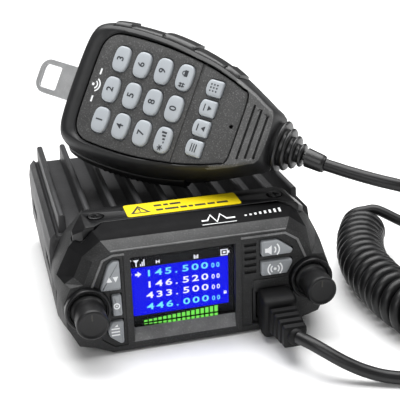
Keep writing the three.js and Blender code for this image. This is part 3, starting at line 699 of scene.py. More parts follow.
# ---------- radio ----------
def finish_nodes():
    """CAD nodes whose shape is right, with rounded edges and a finish of their own."""
    finishes = (
        (CHASSIS, 0.3, "heatsink_chassis"),
        (CHASSIS, 0.2, "bottom_cover"),
        (GLOSS, 0.25, "top_trim_strip"),
        (PLASTIC, 0.2, "mic_socket fan_frame power_inlet"),
        (STEEL, 0.2, "left_encoder right_encoder left_knob_shaft right_knob_shaft"),
        (BLACK_SCREW, 0.1, "left_trim_screw right_trim_screw cover_screw_1 cover_screw_2"),
        (BOARD, 0.1, "front_board main_board mic_board"),
        (PLASTIC, 0.3, "speaker"),
        (PLASTIC, 0.1, "fan_rotor"),
        (PLASTIC, 0.15, "speaker_jack"),
        (BRASS, 0.2, "mic_capsule"),
    )
    for material, width, nodes in finishes:
        for node in nodes.split():
            rounded(copied(node, material), width, segments=2)

FRONT_BUTTONS = {
    "upper_left_button": [
        (-28, 24.9), (-28.1, 35.4), (-30.4, 35.4), (-32, 33.8), (-35, 25.4), (-34.7, 24.9),
    ],
    "middle_left_button": [(-28, 15), (-28.1, 22.8), (-31.4, 22.8), (-31.2, 15)],
    "lower_left_button": [
        (-27.9, 12.9), (-31.9, 12.9), (-33.4, 9.2), (-32.9, 7.2), (-29.2, 4.1), (-28, 4.4),
    ],
    "upper_right_button": [(21.8, 29.7), (32.6, 29.7), (33.3, 31.2), (27.7, 35.4), (21.8, 35.4)],
    "lower_right_button": [(21.8, 22.2), (31.2, 22.2), (33.3, 26.4), (32.8, 27.6), (21.8, 27.6)],
}


def tint(made, material, wanted, place=RADIO, level=-2):
    """Gives the material to the faces whose middle, in the drawing, passes the test.

    A face whose normal points up by less than the level is left as it is.
    """
    made.data.materials.append(material)
    drawing = place.inverted()
    for face in made.data.polygons:
        if face.normal.z >= level and wanted(drawing @ face.center):
            face.material_index = len(made.data.materials) - 1


def add_bezel():
    """The front frame with louvres in its sides, a darker grey on its upper slope, painted shade on its
    shoulders and painted highlight on its ledge and the middle of its top.
    """
    bezel = copied("front_bezel", BEZEL, "front_bezel_shell")
    louvres = [ribbon([(23.6 - 3.4 * i, 15.5), (20.2 - 3.4 * i, 22.5)], 1.2) for i in range(4)]
    for side in (-1, 1):
        span = sorted((side * 48.1, side * 50))
        carve(bezel, merged(*[prism("YZ", louvre, *span) for louvre in louvres]))
    rework(bezel.data, drop_doubles, merge_flat_faces)
    tint(bezel, BAND, lambda at: 3.9 < at.y < 11.7 and at.z > (27 if at.x < -35 else 40))
    # Painted shade: the shoulder facets get a darker copy of the bezel grey.
    tint(bezel, SHOULDER_SHADE, lambda at: 0 < at.y < 4 and 32 < abs(at.x) < 40.5 and at.z > 28.5)
    # Painted highlight: the upward faces of the ledge under the screen get a lighter copy of the bezel
    # grey.
    tint(bezel, BEZEL_HIGHLIGHT, lambda at: 0 < at.y < 1.7 and 3.6 < at.z < 8.7 and abs(at.x + 5.8) < 2, level=0.2)
    # Painted highlight: the middle of the frame's top gets a lighter copy of the bezel grey.
    tint(bezel, RIDGE_HIGHLIGHT, lambda at: 0 < at.y < 4 and abs(at.x) < 5 and at.z > 38.5)
    rounded(bezel, 0.14, segments=2)


def add_bezel_trim():
    """Raised lines round the button fields and a thin strip under the slope, both in the lighter grey as
    painted highlight, and a ring round each knob.
    """
    rims = {
        "left_field": [(-26.2, 37.5), (-30.2, 37.5), (-33.7, 36.0), (-38.0, 26.2)],
        "right_field": [(14.4, 37.5), (30.5, 37.5), (35.0, 34.5), (38.2, 27.2)],
    }
    for name, line in rims.items():
        # The rims take the lighter grey as painted highlight.
        rim = piece(name + "_rim", prism("XZ", ribbon(line, 0.8), -0.3, 0.6), RADIO, BEZEL_HIGHLIGHT, "radio")
        rounded(rim, 0.18, segments=2)
    # A thin strip in the lighter grey along the frame's top edge: a painted highlight line.
    bead = piece("bezel_front_painted_highlight", block(-30.8, 30.8, -0.12, 0.5, 38.75, 39.25), RADIO, BEZEL_HIGHLIGHT, "radio")
    rounded(bead, 0.18)
    lip = [(6.75, -1.5), (6.75, -2.5), (6.95, -2.75), (7.4, -2.75), (7.75, -2.5), (7.8, -2.0), (7.8, 0.2)]
    for side, word in ((-1, "left"), (1, "right")):
        ring = lathe(lip, side * KNOB_X, KNOB_Z, 72, hollow=True)
        piece(word + "_collar_ring", ring, RADIO, GLOSS, "radio", sharp=60)


def add_front_emblem():
    """A plain zigzag over a line, and a row of growing bars, on the slope above the screen."""
    slope = Vector((0, 7.6, 3.2)).normalized()
    lift = Vector((0, -slope.z, slope.y))
    panel = Matrix((Vector((1, 0, 0)), slope, lift)).transposed().to_4x4()
    panel = RADIO @ shift(0, 4, 41.6) @ panel
    pulse = [(2.5, 3.0), (4.6, 3.0), (6.0, 5.4), (7.8, 1.8), (9.6, 5.4), (11.4, 3.0), (14.5, 3.0)]
    small = [bar(18.0 + 1.8 * i, 18.8 + 1.8 * i, 2.9, 3.4 + 0.2 * i) for i in range(8)]
    outlines = [ribbon(pulse, 0.6), *small, bar(2.3, 14.6, 1.0, 1.22)]
    mark("front_emblem", "XY", outlines, 0.0, 0.12, panel, MARK, "radio")


def add_front_buttons():
    for name, outline in FRONT_BUTTONS.items():
        soft = round_corners(outline, 0.7, 4)
        steps = ((0, 3.6), (0, -0.35), (-0.12, -0.65), (-0.35, -0.84), (-0.7, -0.9))
        shape = loft([[(x, y, z) for x, z in grown(soft, amount)] for amount, y in steps])
        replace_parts(piece(name + "_cap", shape, RADIO, BUTTON, name, sharp=60), name)
    front = (-0.96, -0.85, RADIO, MARK)
    up = [(-32.9, 28.2), (-30.9, 28.2), (-31.9, 30.2)]
    down = [(-30.7, 30.0), (-28.8, 30.0), (-29.75, 28.0)]
    mark("swap_mark", "XZ", [up, down], *front, "upper_left_button")
    target = [arc_band(-29.9, 18.9, 0.95, 0.45, 0, 360, 24), disc(-29.9, 18.9, 0.3, 12)]
    mark("call_mark", "XZ", target, *front, "middle_left_button")
    menu = [bar(-32.3, -29.4, z, z + 0.55) for z in (7.6, 8.8, 10.0)]
    menu.append([(-31.2, 11.0), (-30.1, 11.9), (-29.9, 11.0)])
    mark("menu_mark", "XZ", menu, *front, "lower_left_button")
    loudspeaker = [
        [(22.9, 31.2), (23.9, 31.2), (25.3, 30.2), (25.3, 33.8), (23.9, 32.8), (22.9, 32.8)],
        arc_band(25.2, 32.0, 1.6, 0.5, -45, 45),
        arc_band(25.2, 32.0, 2.9, 0.5, -45, 45),
    ]
    mark("monitor_mark", "XZ", loudspeaker, *front, "upper_right_button")
    waves = [disc(26.6, 24.6, 0.55, 16)]
    for radius in (1.5, 2.6):
        waves.append(arc_band(26.6, 24.6, radius, 0.5, -50, 50))
        waves.append(arc_band(26.6, 24.6, radius, 0.5, 130, 230))
    mark("broadcast_mark", "XZ", waves, *front, "lower_right_button")


def add_knobs():
    """A dished face, a rounded rim, a waist and a skirt, turned round each knob's own axis."""
    face = [(0.0, -12.2), (3.6, -12.25), (4.3, -12.4), (4.55, -12.7), (4.9, -12.65), (5.2, -12.4)]
    waist = [(5.38, -11.9), (5.4, -11.2), (5.36, -7.6), (5.2, -6.4), (5.0, -5.4), (5.0, -3.4)]
    skirt = [(5.3, -2.9), (5.9, -2.5), (6.0, -2.1), (6.0, -1.0), (3.2, -1.0)]
    profile = face + waist + skirt
    for side, word in ((-1, "left"), (1, "right")):
        shape = lathe(profile, side * KNOB_X, KNOB_Z, 72)
        knob = piece(word + "_knob_grip", shape, RADIO, KNOB, word + "_knob", sharp=60)
        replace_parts(knob, word + "_knob")
        line = bar(side * KNOB_X - 0.22, side * KNOB_X + 0.22, KNOB_Z + 1.6, KNOB_Z + 4.0)
        mark(word + "_knob_pointer", "XZ", [line], -12.32, -12.2, RADIO, INK, word + "_knob")


def add_screen():
    """The clear window, the display behind it, and what the display shows."""
    x0, x1, z0, z1 = LENS
    lens = piece("screen_window", block(x0, x1, 0.5, 3, z0, z1), RADIO, GLASS, "radio")
    rounded(lens, 0.25)
    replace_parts(lens, "screen_lens")
    module_shape = block(x0 - 1, x1 + 1.2, 3.8, 8.4, z0 - 2.4, 36.4)
    module = piece("display_panel", module_shape, RADIO, SCREEN_BLACK, "radio")
    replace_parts(rounded(module, 0.3), "display_module")
    mark("display_field", "XZ", [bar(-23.5, 10.7, 11.7, 30.0)], 3.72, 3.78, RADIO, SCREEN_BLUE, "radio")
    across = RADIO @ shift(0.4, 3.66, -0.45) @ rotate(90, "X")
    lines = {
        "first_frequency": ("145500", 27.85, SCREEN_CYAN),
        "second_frequency": ("146520", 23.5, SCREEN_WHITE),
        "third_frequency": ("433500", 19.4, SCREEN_WHITE),
        "fourth_frequency": ("446000", 15.0, SCREEN_CYAN),
    }
    places = (-17.9, -14.5, -11.1, -5.0, -1.6, 1.8)
    for name, (digits, z, material) in lines.items():
        entries = [(digit, x, z, 3.3, 1.6) for digit, x in zip(digits, places)]
        entries.append((".", -8.3, z, 3.3, 1.25))
        entries += [("0", x, z - 0.3, 2.4, 1.0) for x in (4.8, 6.6)]
        figures(name, entries, across, material, "radio")
    meter = [bar(-20.1 + 1.7 * i, -18.9 + 1.7 * i, 8.9, 9.6 + 0.11 * i) for i in range(16)]
    symbols_place = RADIO @ shift(0.75, 0, -0.45)
    mark("display_symbols", "XZ", display_symbols(), 3.62, 3.68, symbols_place, SCREEN_WHITE, "radio")
    mark("signal_meter", "XZ", meter, 3.62, 3.68, RADIO, SCREEN_GREEN, "radio")


def display_symbols():
    """An arrow, an aerial with signal bars, two small marks, a battery and a padlock."""
    head = [(-22.2, 26.9), (-20.9, 28.0), (-22.2, 29.1)]
    arrow = [(-23.1, 27.6), (-22.2, 27.6), *head, (-22.2, 28.4), (-23.1, 28.4)]
    aerial = [bar(-22.75, -22.35, 31, 33.4), [(-23.6, 33.5), (-21.5, 33.5), (-22.55, 32.2)]]
    signal = [bar(-21.2 + 0.6 * i, -20.8 + 0.6 * i, 31, 31.8 + 0.8 * i) for i in range(3)]
    small = [bar(-15.7, -15.3, 31.3, 32.5), bar(-14.7, -14.3, 31.3, 32.5), bar(-15.7, -14.3, 31.7, 32.1)]
    level = [bar(-2.3 + 0.6 * i, -1.9 + 0.6 * i, 31.1, 32.6 - 0.35 * (i % 2)) for i in range(3)]
    battery = [bar(7.3, 9.9, z, z + 0.35) for z in (30.9, 32.85)]
    battery += [bar(x, x + 0.35, 30.9, 33.2) for x in (7.3, 9.55)]
    battery += [bar(9.9, 10.5, 31.6, 32.5), bar(8.1, 9.1, 31.7, 32.4)]
    lock = [bar(8.2, 9.2, 15.9, 16.6), arc_band(8.7, 16.6, 0.4, 0.25, 0, 180)]
    return [arrow, *aerial, *signal, *small, *level, *battery, *lock]


def add_label():
    """The yellow label with a warning triangle and bars in place of words."""
    low, high = STRIP_TOP, STRIP_TOP + 0.2
    sheet = prism("XY", round_corners(bar(-22, 19, 13, 23.8), 1.3), low, high)
    label = piece("caution_sticker", sheet, RADIO, YELLOW, "radio")
    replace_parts(label, "caution_label")
    outer = [(-20.6, 15.2), (-13.4, 15.2), (-17.0, 22.0)]
    triangle = border("XY", outer, grown(outer, -0.8), high, high + 0.03)
    piece("caution_triangle", triangle, RADIO, INK, "radio")
    words = [bar(-17.3, -16.7, 17.6, 19.8), bar(-17.3, -16.7, 16.5, 17.1)]
    rows = (((3.4, 2.4, 4.6), 19.6), ((3.2, 5.6, 3.0, 2.2, 4.6, 3.4, 4.8), 15.6))
    for widths, y in rows:
        start = -11.4
        for width in widths:
            words.append(bar(start, start + width - 0.7, y, y + 1.6))
            start += width
    mark("caution_bars", "XY", words, high, high + 0.03, RADIO, INK, "radio")


def add_antenna_socket():
    """A flange, a knurled thread and an open mouth with its pin."""
    x, z = 30, 19
    profile = [(2.0, 111), (3.6, 118), (3.6, 109), (5.6, 109), (5.6, 118.8), (6.4, 119), (7.4, 119)]
    for i in range(9):
        y = 118.4 - i
        profile += [(7.8, y), (7.8, y - 0.25), (7.3, y - 0.5), (7.3, y - 0.75)]
    profile += [(7.8, 109.2), (10.2, 109), (10.5, 108.7), (10.5, 107.3), (7.8, 107.3), (7.8, 101)]
    socket = piece("antenna_connector", lathe(profile, x, z, 48), RADIO, STEEL, "radio", sharp=40)
    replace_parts(socket, "antenna_socket")


def cross_screw(name, x, y, z, radius, turn, body):
    """A pan head with a cross recess, its underside at the place, facing up its own z after the turn."""
    head = [(radius * 0.4, -1.5), (radius, 0), (radius, 0.25), (radius * 0.85, 0.5), (radius * 0.5, 0.62)]
    place = turn @ shift(x, y, z)
    screw = piece(name, lathe_z(head, 0, 0, 32), place, BLACK_SCREW, body, sharp=40)
    arm, slit = radius * 0.6, radius * 0.14
    for across, along in ((arm, slit), (slit, arm)):
        carve(screw, block(-across, across, -along, along, 0.25, 1), place=place)


def add_rear_details():
    """Four rear screws, the fan's guard and the small symbols beside the sockets."""
    rear = RADIO @ shift(0, BODY_DEPTH, 0) @ rotate(-90, "X")
    for i, (x, z) in enumerate(((-44, 31), (44, 31), (-44, 11), (44, 9))):
        cross_screw(f"rear_screw_{i + 1}", x, -z, 0.02, 2.2, rear, "radio")
    guard = []
    front, back = BODY_DEPTH + 0.05, BODY_DEPTH + 0.65
    for radius in (3.2, 6.0, 8.8, 11.6):
        less, more = radius - 0.35, radius + 0.35
        section = [(less, front), (more, front), (more, back), (less, back)]
        guard.append(lathe(section, FAN_X, FAN_Z, 64, hollow=True))
    middle = Vector((FAN_X, FAN_Z))
    for angle in (45, 135, 225, 315):
        out = Vector((cos(radians(angle)), sin(radians(angle))))
        spoke = ribbon([middle + out * 2.9, middle + out * 13.2], 0.8)
        guard.append(prism("XZ", spoke, BODY_DEPTH + 0.03, BODY_DEPTH + 0.5))
        foot = disc(*(middle + out * 13.4), 1.3, 20)
        guard.append(prism("XZ", foot, BODY_DEPTH + 0.02, BODY_DEPTH + 0.8))
    piece("fan_guard", merged(*guard), RADIO, BLACK_SCREW, "radio")
    horn = [(13.0, 27.8), (14.0, 27.8), (15.2, 28.8), (15.2, 25.2), (14.0, 26.2), (13.0, 26.2)]
    waves = [arc_band(15.2, 27.0, radius, 0.4, -45, 45) for radius in (1.6, 2.7)]
    supply = [bar(4.2, 7.8, 7.6, 8.0), *[bar(x, x + 0.8, 6.4, 6.8) for x in (4.2, 5.6, 7.0)]]
    low, high = BODY_DEPTH - 0.05, BODY_DEPTH + 0.06
    mark("socket_symbols", "XZ", [horn, *waves, *supply], low, high, RADIO, MARK, "radio")


finish_nodes()
add_bezel()
add_bezel_trim()
add_front_emblem()
add_front_buttons()
add_knobs()
add_screen()
add_label()
add_antenna_socket()
add_rear_details()

# ---------- hand microphone ----------
MIC_HALF = [
    (0, 20.6), (13, 20.3), (20.5, 19), (25, 15.6), (27.3, 8), (28, -4), (27.2, -19), (24.6, -33),
    (21, -43.6), (16.2, -53.6), (12.6, -60.4), (9.6, -65), (0, -66),
]
PLATE_HALF = [
    (0, 10.4), (12.5, 10.2), (17.6, 9), (20.6, 5.6), (21.4, 0), (21.4, -12), (20.5, -23), (18.9, -33.4),
    (16.6, -42.6), (14, -50), (12, -52.8), (0, -53.2),
]
FRONT_LEVELS = [(-13.4, 0), (-9, 0.5), (-5, 1.5), (-2.4, 2.6), (-0.8, 3.9), (0, 5.4)]
BACK_LEVELS = [(-26.6, 8.5), (-25, 5.2), (-22, 2.6), (-18, 0.9), (-13.7, 0)]
TALK_RECESS = block(-40, -14, -36.8, 15.3, -17.3, -9.7)
MIC_LOOP = smooth_loop(mirrored(MIC_HALF), 5)
PLATE_LOOP = smooth_loop(mirrored(PLATE_HALF), 5)


def polar(outline, count=176):
    """The outline's points at even angles as seen from a place inside it."""
    middle = Vector((0, MIC_MIDDLE_Y))
    found = []
    for i in range(count):
        angle = 2 * pi * i / count
        ray = Vector((cos(angle), sin(angle)))
        best = 0.0
        for a, b in zip(outline, [*outline[1:], outline[0]]):
            a, edge = Vector(a) - middle, Vector(b) - Vector(a)
            cross = ray.x * edge.y - ray.y * edge.x
            if abs(cross) < 1e-9:
                continue
            reach = (a.x * edge.y - a.y * edge.x) / cross
            share = (a.x * ray.y - a.y * ray.x) / cross
            if -1e-6 <= share <= 1 + 1e-6:
                best = max(best, reach)
        found.append(middle + ray * best)
    return found


def nose_share(y):
    """How much of an inset applies there: all of it along the sides and less of it at the nose."""
    return 0.42 + 0.58 * min(1, max(0, (y + 56) / 26))


def skin(inset):
    """The microphone's outline drawn in by the inset, less so at its nose, at even angles."""
    inner = grown(MIC_LOOP, -1)
    return polar([a + (b - a) * inset * nose_share(a.y) for a, b in zip(MIC_LOOP, inner)])


def ring_at(outline, z):
    return [(x, y, z) for x, y in outline]


def inset_at(z):
    """How far the microphone's skin is drawn in at that height."""
    levels = [*BACK_LEVELS, *FRONT_LEVELS]
    for (low, first), (high, second) in zip(levels, levels[1:]):
        if low <= z <= high:
            return first + (second - first) * (z - low) / (high - low)
    return levels[-1][1] if z > 0 else levels[0][1]


def add_front_shell():
    """The front half, with room for the keypad, the grip, the push-to-talk bar and the hanger."""
    opening = polar(grown(PLATE_LOOP, 0.45))
    rim = skin(5.4)
    rings = [ring_at(skin(inset), z) for z, inset in smooth_line(FRONT_LEVELS, 3)]
    for share, dip in ((0.3, 0.05), (0.62, 0.5), (0.85, 0.95), (0.97, 0.8), (1.0, 0.9)):
        between = [a.lerp(b, share) for a, b in zip(rim, opening)]
        rings.append([(p.x, p.y, -dip * min(1, max(0, (p.y + 46) / 20)) - 0.02 * share) for p in between])
    rings.append(ring_at(opening, -4.4))
    for inset, z in ((3.4, -5.2), (2.5, -9), (2.0, -13.4)):
        rings.append(ring_at(skin(inset), z))
    front = piece("mic_front_case", loft(rings, ring_closed=True), MIC, PLASTIC, "hand_microphone")
    slots = [block(-10.4 + i, 9.8 - i, -57 - 2.9 * i, -56.2 - 2.9 * i, -1.2, 1) for i in range(3)]
    carve(front, merged(*slots), TALK_RECESS, side_strip(GRIP_STATIONS_ROOM, GRIP_ROOM, 1), place=MIC)
    carve(front, block(-9, 6.2, 10, 24, HANGER_Z - 0.9, HANGER_Z + 0.9), place=MIC)
    tint(front, NOSE, lambda at: at.y < -47 and at.z > -1.1, MIC)
    rounded(front, 0.18, segments=2, angle=40)
    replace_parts(front, "mic_front_shell")


def add_back_shell():
    """The back half, and the lip that closes the seam between the halves from inside."""
    inner = [(10.4, -24.6), (7.2, -23), (4.6, -20.4), (2.9, -17), (2, -13.7)]
    rings = [ring_at(polar(grown(MIC_LOOP, -inset)), z) for inset, z in inner]
    outer = [ring_at(polar(grown(MIC_LOOP, -inset)), z) for z, inset in smooth_line(BACK_LEVELS, 3)]
    back = piece("mic_back_case", loft([*rings, *outer[::-1]]), MIC, PLASTIC, "hand_microphone")
    carve(back, TALK_RECESS, place=MIC)
    rounded(back, 0.18, segments=2, angle=40)
    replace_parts(back, "mic_back_shell")
    lip = [ring_at(skin(inset), z) for inset, z in ((2.7, -12.6), (2.7, -14.6), (3.4, -14.6), (3.4, -12.6))]
    seam_lip = piece("mic_seam_lip", loft(lip, ring_closed=True), MIC, PLASTIC, "hand_microphone")
    carve(seam_lip, TALK_RECESS, place=MIC)


def side_strip(stations, section, side):
    """A strip along one side of the microphone: stations are (y, how far it stands proud).

    The section is a list of (z, share of the proud height), then how deep it goes under the skin.
    """
    half = smooth_line(MIC_HALF, 8)
    heights, depth = section
    rings = []
    for y, proud in stations:
        place = next(i for i in range(1, len(half)) if half[i].y <= y and half[i].x > 5)
        a, b = half[place - 1], half[place]
        share = (a.y - y) / (a.y - b.y)
        here = a.lerp(b, share)
        along = (b - a).normalized()
        out = Vector((-along.y, along.x))
        less = nose_share(y)
        outer = [(here + out * (proud * part - inset_at(z) * less), z) for z, part in heights]
        inner = [(here - out * (inset_at(z) * less + depth), z) for z, _ in reversed(heights)]
        rings.append([(side * p.x, p.y, z) for p, z in outer + inner])
    return loft(rings)


GRIP_SPANS = [(1.5, 9, 1.0), (-12.5, 1.5, 0.2), (-27, -12.5, 1.0), (-41, -27, 0.2), (-47.5, -41, 1.0)]
GRIP_STATIONS_ROOM = [(y, 1.6) for y in (9.35, 4, 0, -6, -12, -18, -24, -30, -36, -42, -47.85)]
GRIP_ROOM = ([(-10.2, 1), (-8, 1), (-6, 1), (-4, 1), (-2.6, 1), (-1.0, 1)], 0.9)


def grip_stations():
    stations = [(9.0, 0.1), (8.75, 0.9)]
    for low, high, proud in GRIP_SPANS:
        count = max(2, round((high - low) / 2))
        inner = [high - 0.45 - (high - low - 0.9) * i / count for i in range(count + 1)]
        stations += [(y, proud) for y in inner]
        stations += [(low + 0.2, -0.3), (low - 0.2, -0.3)]
    return [*stations[:-2], (-47.45, 0.1)]


def add_grip():
    """The rubber strip with raised and sunk steps along the microphone's right side."""
    low_edge = [(-9.6, 0.1), (-9.35, 0.8), (-9.0, 1), (-7.5, 1), (-6, 1)]
    high_edge = [(-4.5, 1), (-3.2, 1), (-2.4, 0.9), (-1.95, 0.6), (-1.7, 0.1)]
    shape = side_strip(grip_stations(), (low_edge + high_edge, 0.6), 1)
    grip = piece("mic_side_grip", shape, MIC, RUBBER, "hand_microphone", sharp=50)
    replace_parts(grip, "mic_grip_pad")


def add_ptt_bar():
    """The long push-to-talk bar on the left side, with nine ribs across its middle."""
    ends = [(15.0, 0.2), (14.7, 0.8), (14.0, 1.0)]
    middle = [(14.0 - 49.5 * i / 24, 1.0) for i in range(1, 24)]
    stations = [*ends, *middle, (-35.5, 1.0), (-36.2, 0.8), (-36.5, 0.2)]
    low_edge = [(-17.0, 0.2), (-16.6, 0.8), (-15.8, 1.35), (-14.6, 1.5)]
    high_edge = [(-13.2, 1.5), (-12.2, 1.35), (-11.0, 0.9), (-10.3, 0.5), (-10.0, 0.1)]
    shape = side_strip(stations, (low_edge + high_edge, 3.2), -1)
    long_bar = piece("push_to_talk_bar", shape, MIC, RUBBER, "ptt_bar", sharp=60)
    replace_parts(long_bar, "ptt_bar")
    rib_heights = [(-16.2, 0.9), (-15.6, 1.3), (-14.6, 1.5), (-13.2, 1.5), (-12.4, 1.35), (-11.6, 1.0)]
    ribs = []
    for i in range(9):
        y = -2.0 - 2.4 * i
        rib_stations = [(y + 0.45, 0.9), (y + 0.25, 1.17), (y - 0.25, 1.17), (y - 0.45, 0.9)]
        ribs.append(side_strip(rib_stations, (rib_heights, 0.5), -1))
    piece("push_to_talk_ribs", merged(*ribs), MIC, RUBBER, "ptt_bar", sharp=60)


def number_key_outline(x, y):
    half = [(4.25, -2.2), (4.8, -1), (4.8, 1), (4.25, 2.2), (3.0, 2.95), (1, 3.2), (-1, 3.2), (-3.0, 2.95)]
    full = [*half, *[(-a, -b) for a, b in half]]
    return smooth_loop([(x + a, y + b) for a, b in full], 4)


def function_key_outline(x, y):
    corners = [(3, -3.2), (3, 2.4), (1.2, 3.2), (-1.2, 3.2), (-3, 2.4), (-3, -3.2)]
    return round_corners([(x + a, y + b) for a, b in corners], 0.9, 4)


KEY_NAMES = ["1", "2", "3", "4", "5", "6", "7", "8", "9", "star", "0", "hash"]
FUNCTION_KEYS = ["menu", "up", "down", "tone"]
KEY_PLACES = {}
for i, name in enumerate(KEY_NAMES):
    KEY_PLACES[name] = ((i % 3 - 1) * KEY_COLUMN_PITCH, -(i // 3) * KEY_ROW_PITCH)
for i, name in enumerate(FUNCTION_KEYS):
    KEY_PLACES[name] = ((i - 1.5) * FUNCTION_KEY_PITCH, FUNCTION_KEY_Y)


def key_outline(name):
    outline = function_key_outline if name in FUNCTION_KEYS else number_key_outline
    return outline(*KEY_PLACES[name])


def add_face_plate():
    """The grained plate with its key holes, a groove above the function keys and the sound hole."""
    loop = grown(PLATE_LOOP, -0.15)
    levels = [(loop, -2.6), (loop, -1.05), (grown(loop, -0.12), -0.82), (grown(loop, -0.4), -0.7)]
    shape = loft([ring_at(ring, z) for ring, z in levels])
    plate = piece("mic_keypad_plate", shape, MIC, FACE, "hand_microphone")
    holes = [prism("XY", grown(key_outline(name), 0.42), -4, 1) for name in KEY_PLACES]
    sound_hole = lathe_z([(0.75, -4), (0.75, 1)], 0, SOUND_HOLE_Y)
    carve(plate, merged(*holes, sound_hole), place=MIC)
    carve(plate, block(-30, 30, -33.3, -32.3, -1.2, 1), place=MIC)
    rounded(plate, 0.15, segments=2, angle=40)
    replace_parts(plate, "mic_face_plate")
    felt = [disc(0, SOUND_HOLE_Y, 1.3)]
    mark("mic_felt", "XY", felt, -3.0, -2.7, MIC, SCREEN_BLACK, "hand_microphone")


def shrunk(outline, share):
    """The outline drawn towards its own middle to a share of its size."""
    middle = sum((Vector(p[:2]) for p in outline), Vector((0, 0))) / len(outline)
    return [middle.lerp(Vector(p[:2]), share) for p in outline]


def add_keys():
    """Sixteen soft keys with a flange under the plate and a domed top."""
    for name in KEY_PLACES:
        outline = key_outline(name)
        flange = grown(outline, 0.6)
        levels = [(flange, -4.2), (flange, -2.9), (outline, -2.88), (outline, -0.1)]
        levels += [(grown(outline, -0.1), 0.12), (grown(outline, -0.3), 0.3)]
        levels += [(shrunk(outline, share), z) for share, z in ((0.82, 0.42), (0.6, 0.48), (0.3, 0.5))]
        body = "key_" + name
        cap = piece(body + "_cap", loft([ring_at(ring, z) for ring, z in levels]), MIC, KEY, body, sharp=60)
        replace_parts(cap, body)


def key_symbols():
    """Plain symbols for the keys that have no figure, measured from each key's middle."""
    star = []
    for angle in (90, 30, -30):
        x, y = (1.1 * part(radians(angle)) for part in (cos, sin))
        star.append(ribbon([(x - 3.0, y), (-x - 3.0, -y)], 0.4))
    sweep = [bar(1.2 * i - 1.2, 1.2 * i - 0.5, -1.0, 0.5 * i - 0.5) for i in range(4)]
    cross = [bar(-3.9, -2.1, y - 0.2, y + 0.2) for y in (-0.5, 0.5)]
    cross += [bar(x - 3.18, x - 2.82, -1.2, 1.2) for x in (-0.45, 0.45)]
    padlock = [bar(0.2, 2.6, -1.1, 0.3), arc_band(1.4, 0.3, 0.75, 0.35, 0, 180)]
    top_line = bar(-1.3, 1.3, 0.9, 1.3)
    return {
        "star": star + sweep,
        "hash": cross + padlock,
        "menu": [bar(-1.5, 1.5, y, y + 0.4) for y in (-1.1, -0.2, 0.7)],
        "up": [[(-1.0, -1.8), (1.0, -1.8), (0, -0.3)], top_line],
        "down": [[(-1.0, -0.3), (1.0, -0.3), (0, -1.8)], top_line],
        "tone": [disc(x, y, 0.32, 12) for x in (-1.2, 0, 1.2) for y in (-1.1, 0.1, 1.3)],
    }


def add_key_marks():
    """A figure on each number key, a symbol on each other key, and a wave symbol above them."""
    above = MIC @ shift(0, 0, 0.52)
    for name in KEY_NAMES:
        if name.isdigit():
            figures("figure_" + name, [(name, *KEY_PLACES[name], 3.9, 1.0)], above, LEGEND, "key_" + name)
    for name, outlines in key_symbols().items():
        place = MIC @ shift(*KEY_PLACES[name], 0)
        word = name + ("_key_mark" if name in FUNCTION_KEYS else "_mark")
        mark(word, "XY", outlines, 0.48, 0.54, place, LEGEND, "key_" + name)
    emblem = [arc_band(0, 7.9, radius, 0.55, 205, 335, 16) for radius in (1.5, 2.6)]
    emblem += [disc(0, 8.2, 0.55, 16), bar(-6.6, -4.2, 6.4, 7.1), bar(4.2, 6.6, 6.4, 7.1)]
    mark("mic_emblem", "XY", emblem, -0.72, -0.64, MIC, MARK, "hand_microphone")


# A rib of the boot: how far back each step is, and how much less it measures than the rib's rim.
BOOT_RIB = [(0, 0.6), (0.12, 0.2), (0.35, 0), (0.75, 0.05), (1.05, 0.3), (1.2, 0.8), (1.3, 2.7), (2.2, 2.8)]


def boot_ring(y, half_width, half_depth):
    """An oval across the boot, which droops a little towards its end."""
    droop = -0.3 - 0.09 * (BOOT_START - y)
    return [(droop + half_width * a, y, -11.8 + half_depth * b) for a, b in circle(48)]


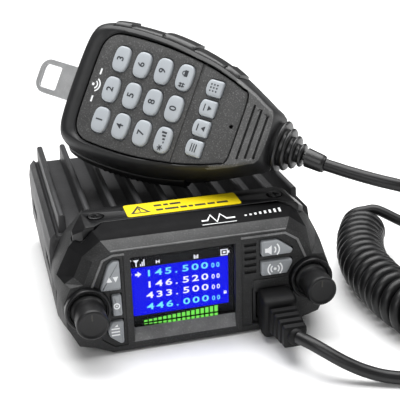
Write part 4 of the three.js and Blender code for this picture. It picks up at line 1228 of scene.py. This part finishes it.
def add_boot():
    """The cord's boot: a collar, four ribs that shrink, and a plain neck with a bead at its end."""
    rings = [boot_ring(BOOT_START + 1.5, 8.0, 7.6), boot_ring(BOOT_START, 8.4, 8)]
    for i in range(4):
        y = BOOT_START - 0.4 - 2.7 * i
        width, depth = 9.6 - 1.75 * i, 8.6 - 1.45 * i
        rings += [boot_ring(y - back, width - less, depth - less) for back, less in BOOT_RIB]
    rings += [boot_ring(BOOT_START - 11.0, 3.5, 3.4), boot_ring(BOOT_END + 1.2, 3.2, 3.2)]
    rings += [boot_ring(BOOT_END + 0.3, 3.0, 3.0), boot_ring(BOOT_END - 0.1, 2.5, 2.5)]
    boot = piece("mic_boot", loft(rings), MIC, RUBBER, "hand_microphone", sharp=60)
    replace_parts(boot, "mic_cord_boot")


def add_hanger():
    """The flat steel loop that the microphone hangs by."""
    outline = [(-8.4, 8), (5.6, 8), (5.6, 36.6), (2.8, 39.4), (-5.6, 39.4), (-8.4, 36.6)]
    shape = prism("XY", round_corners(outline, 2, 5), HANGER_Z - 0.6, HANGER_Z + 0.6)
    loop = piece("mic_hook", shape, MIC, HANGER, "hand_microphone")
    window = [(-6.1, 29.6), (3.3, 29.6), (3.3, 36.4), (2.4, 37.2), (-5.2, 37.2), (-6.1, 36.4)]
    carve(loop, prism("XY", round_corners(window, 0.6), HANGER_Z - 2, HANGER_Z + 2), place=MIC)
    rounded(loop, 0.25)
    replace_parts(loop, "mic_hanger")


def add_mic_back():
    """Four case screws and a rating plate with plain bars."""
    behind = MIC @ shift(0, 0, -26.6) @ rotate(180, "Y")
    for i, (x, y) in enumerate(((-13, 6), (13, 6), (-9.5, -42), (9.5, -42))):
        cross_screw(f"mic_screw_{i + 1}", x, y, -0.45, 1.9, behind, "hand_microphone")
    outline = round_corners([(-9, -26), (9, -26), (9, -8), (-9, -8)], 1.2)
    piece("mic_rating_plate", prism("XY", outline, -26.75, -26.5), MIC, BAND, "hand_microphone")
    rows = [bar(-6.5, 6.5 - 3 * (i % 2), -11.0 - 3.3 * i, -10.5 - 3.3 * i) for i in range(5)]
    mark("mic_rating_bars", "XY", rows, -26.8, -26.74, MIC, MARK, "hand_microphone")


add_front_shell()
add_back_shell()
add_mic_back()
add_face_plate()
add_keys()
add_key_marks()
add_grip()
add_ptt_bar()
add_boot()
add_hanger()
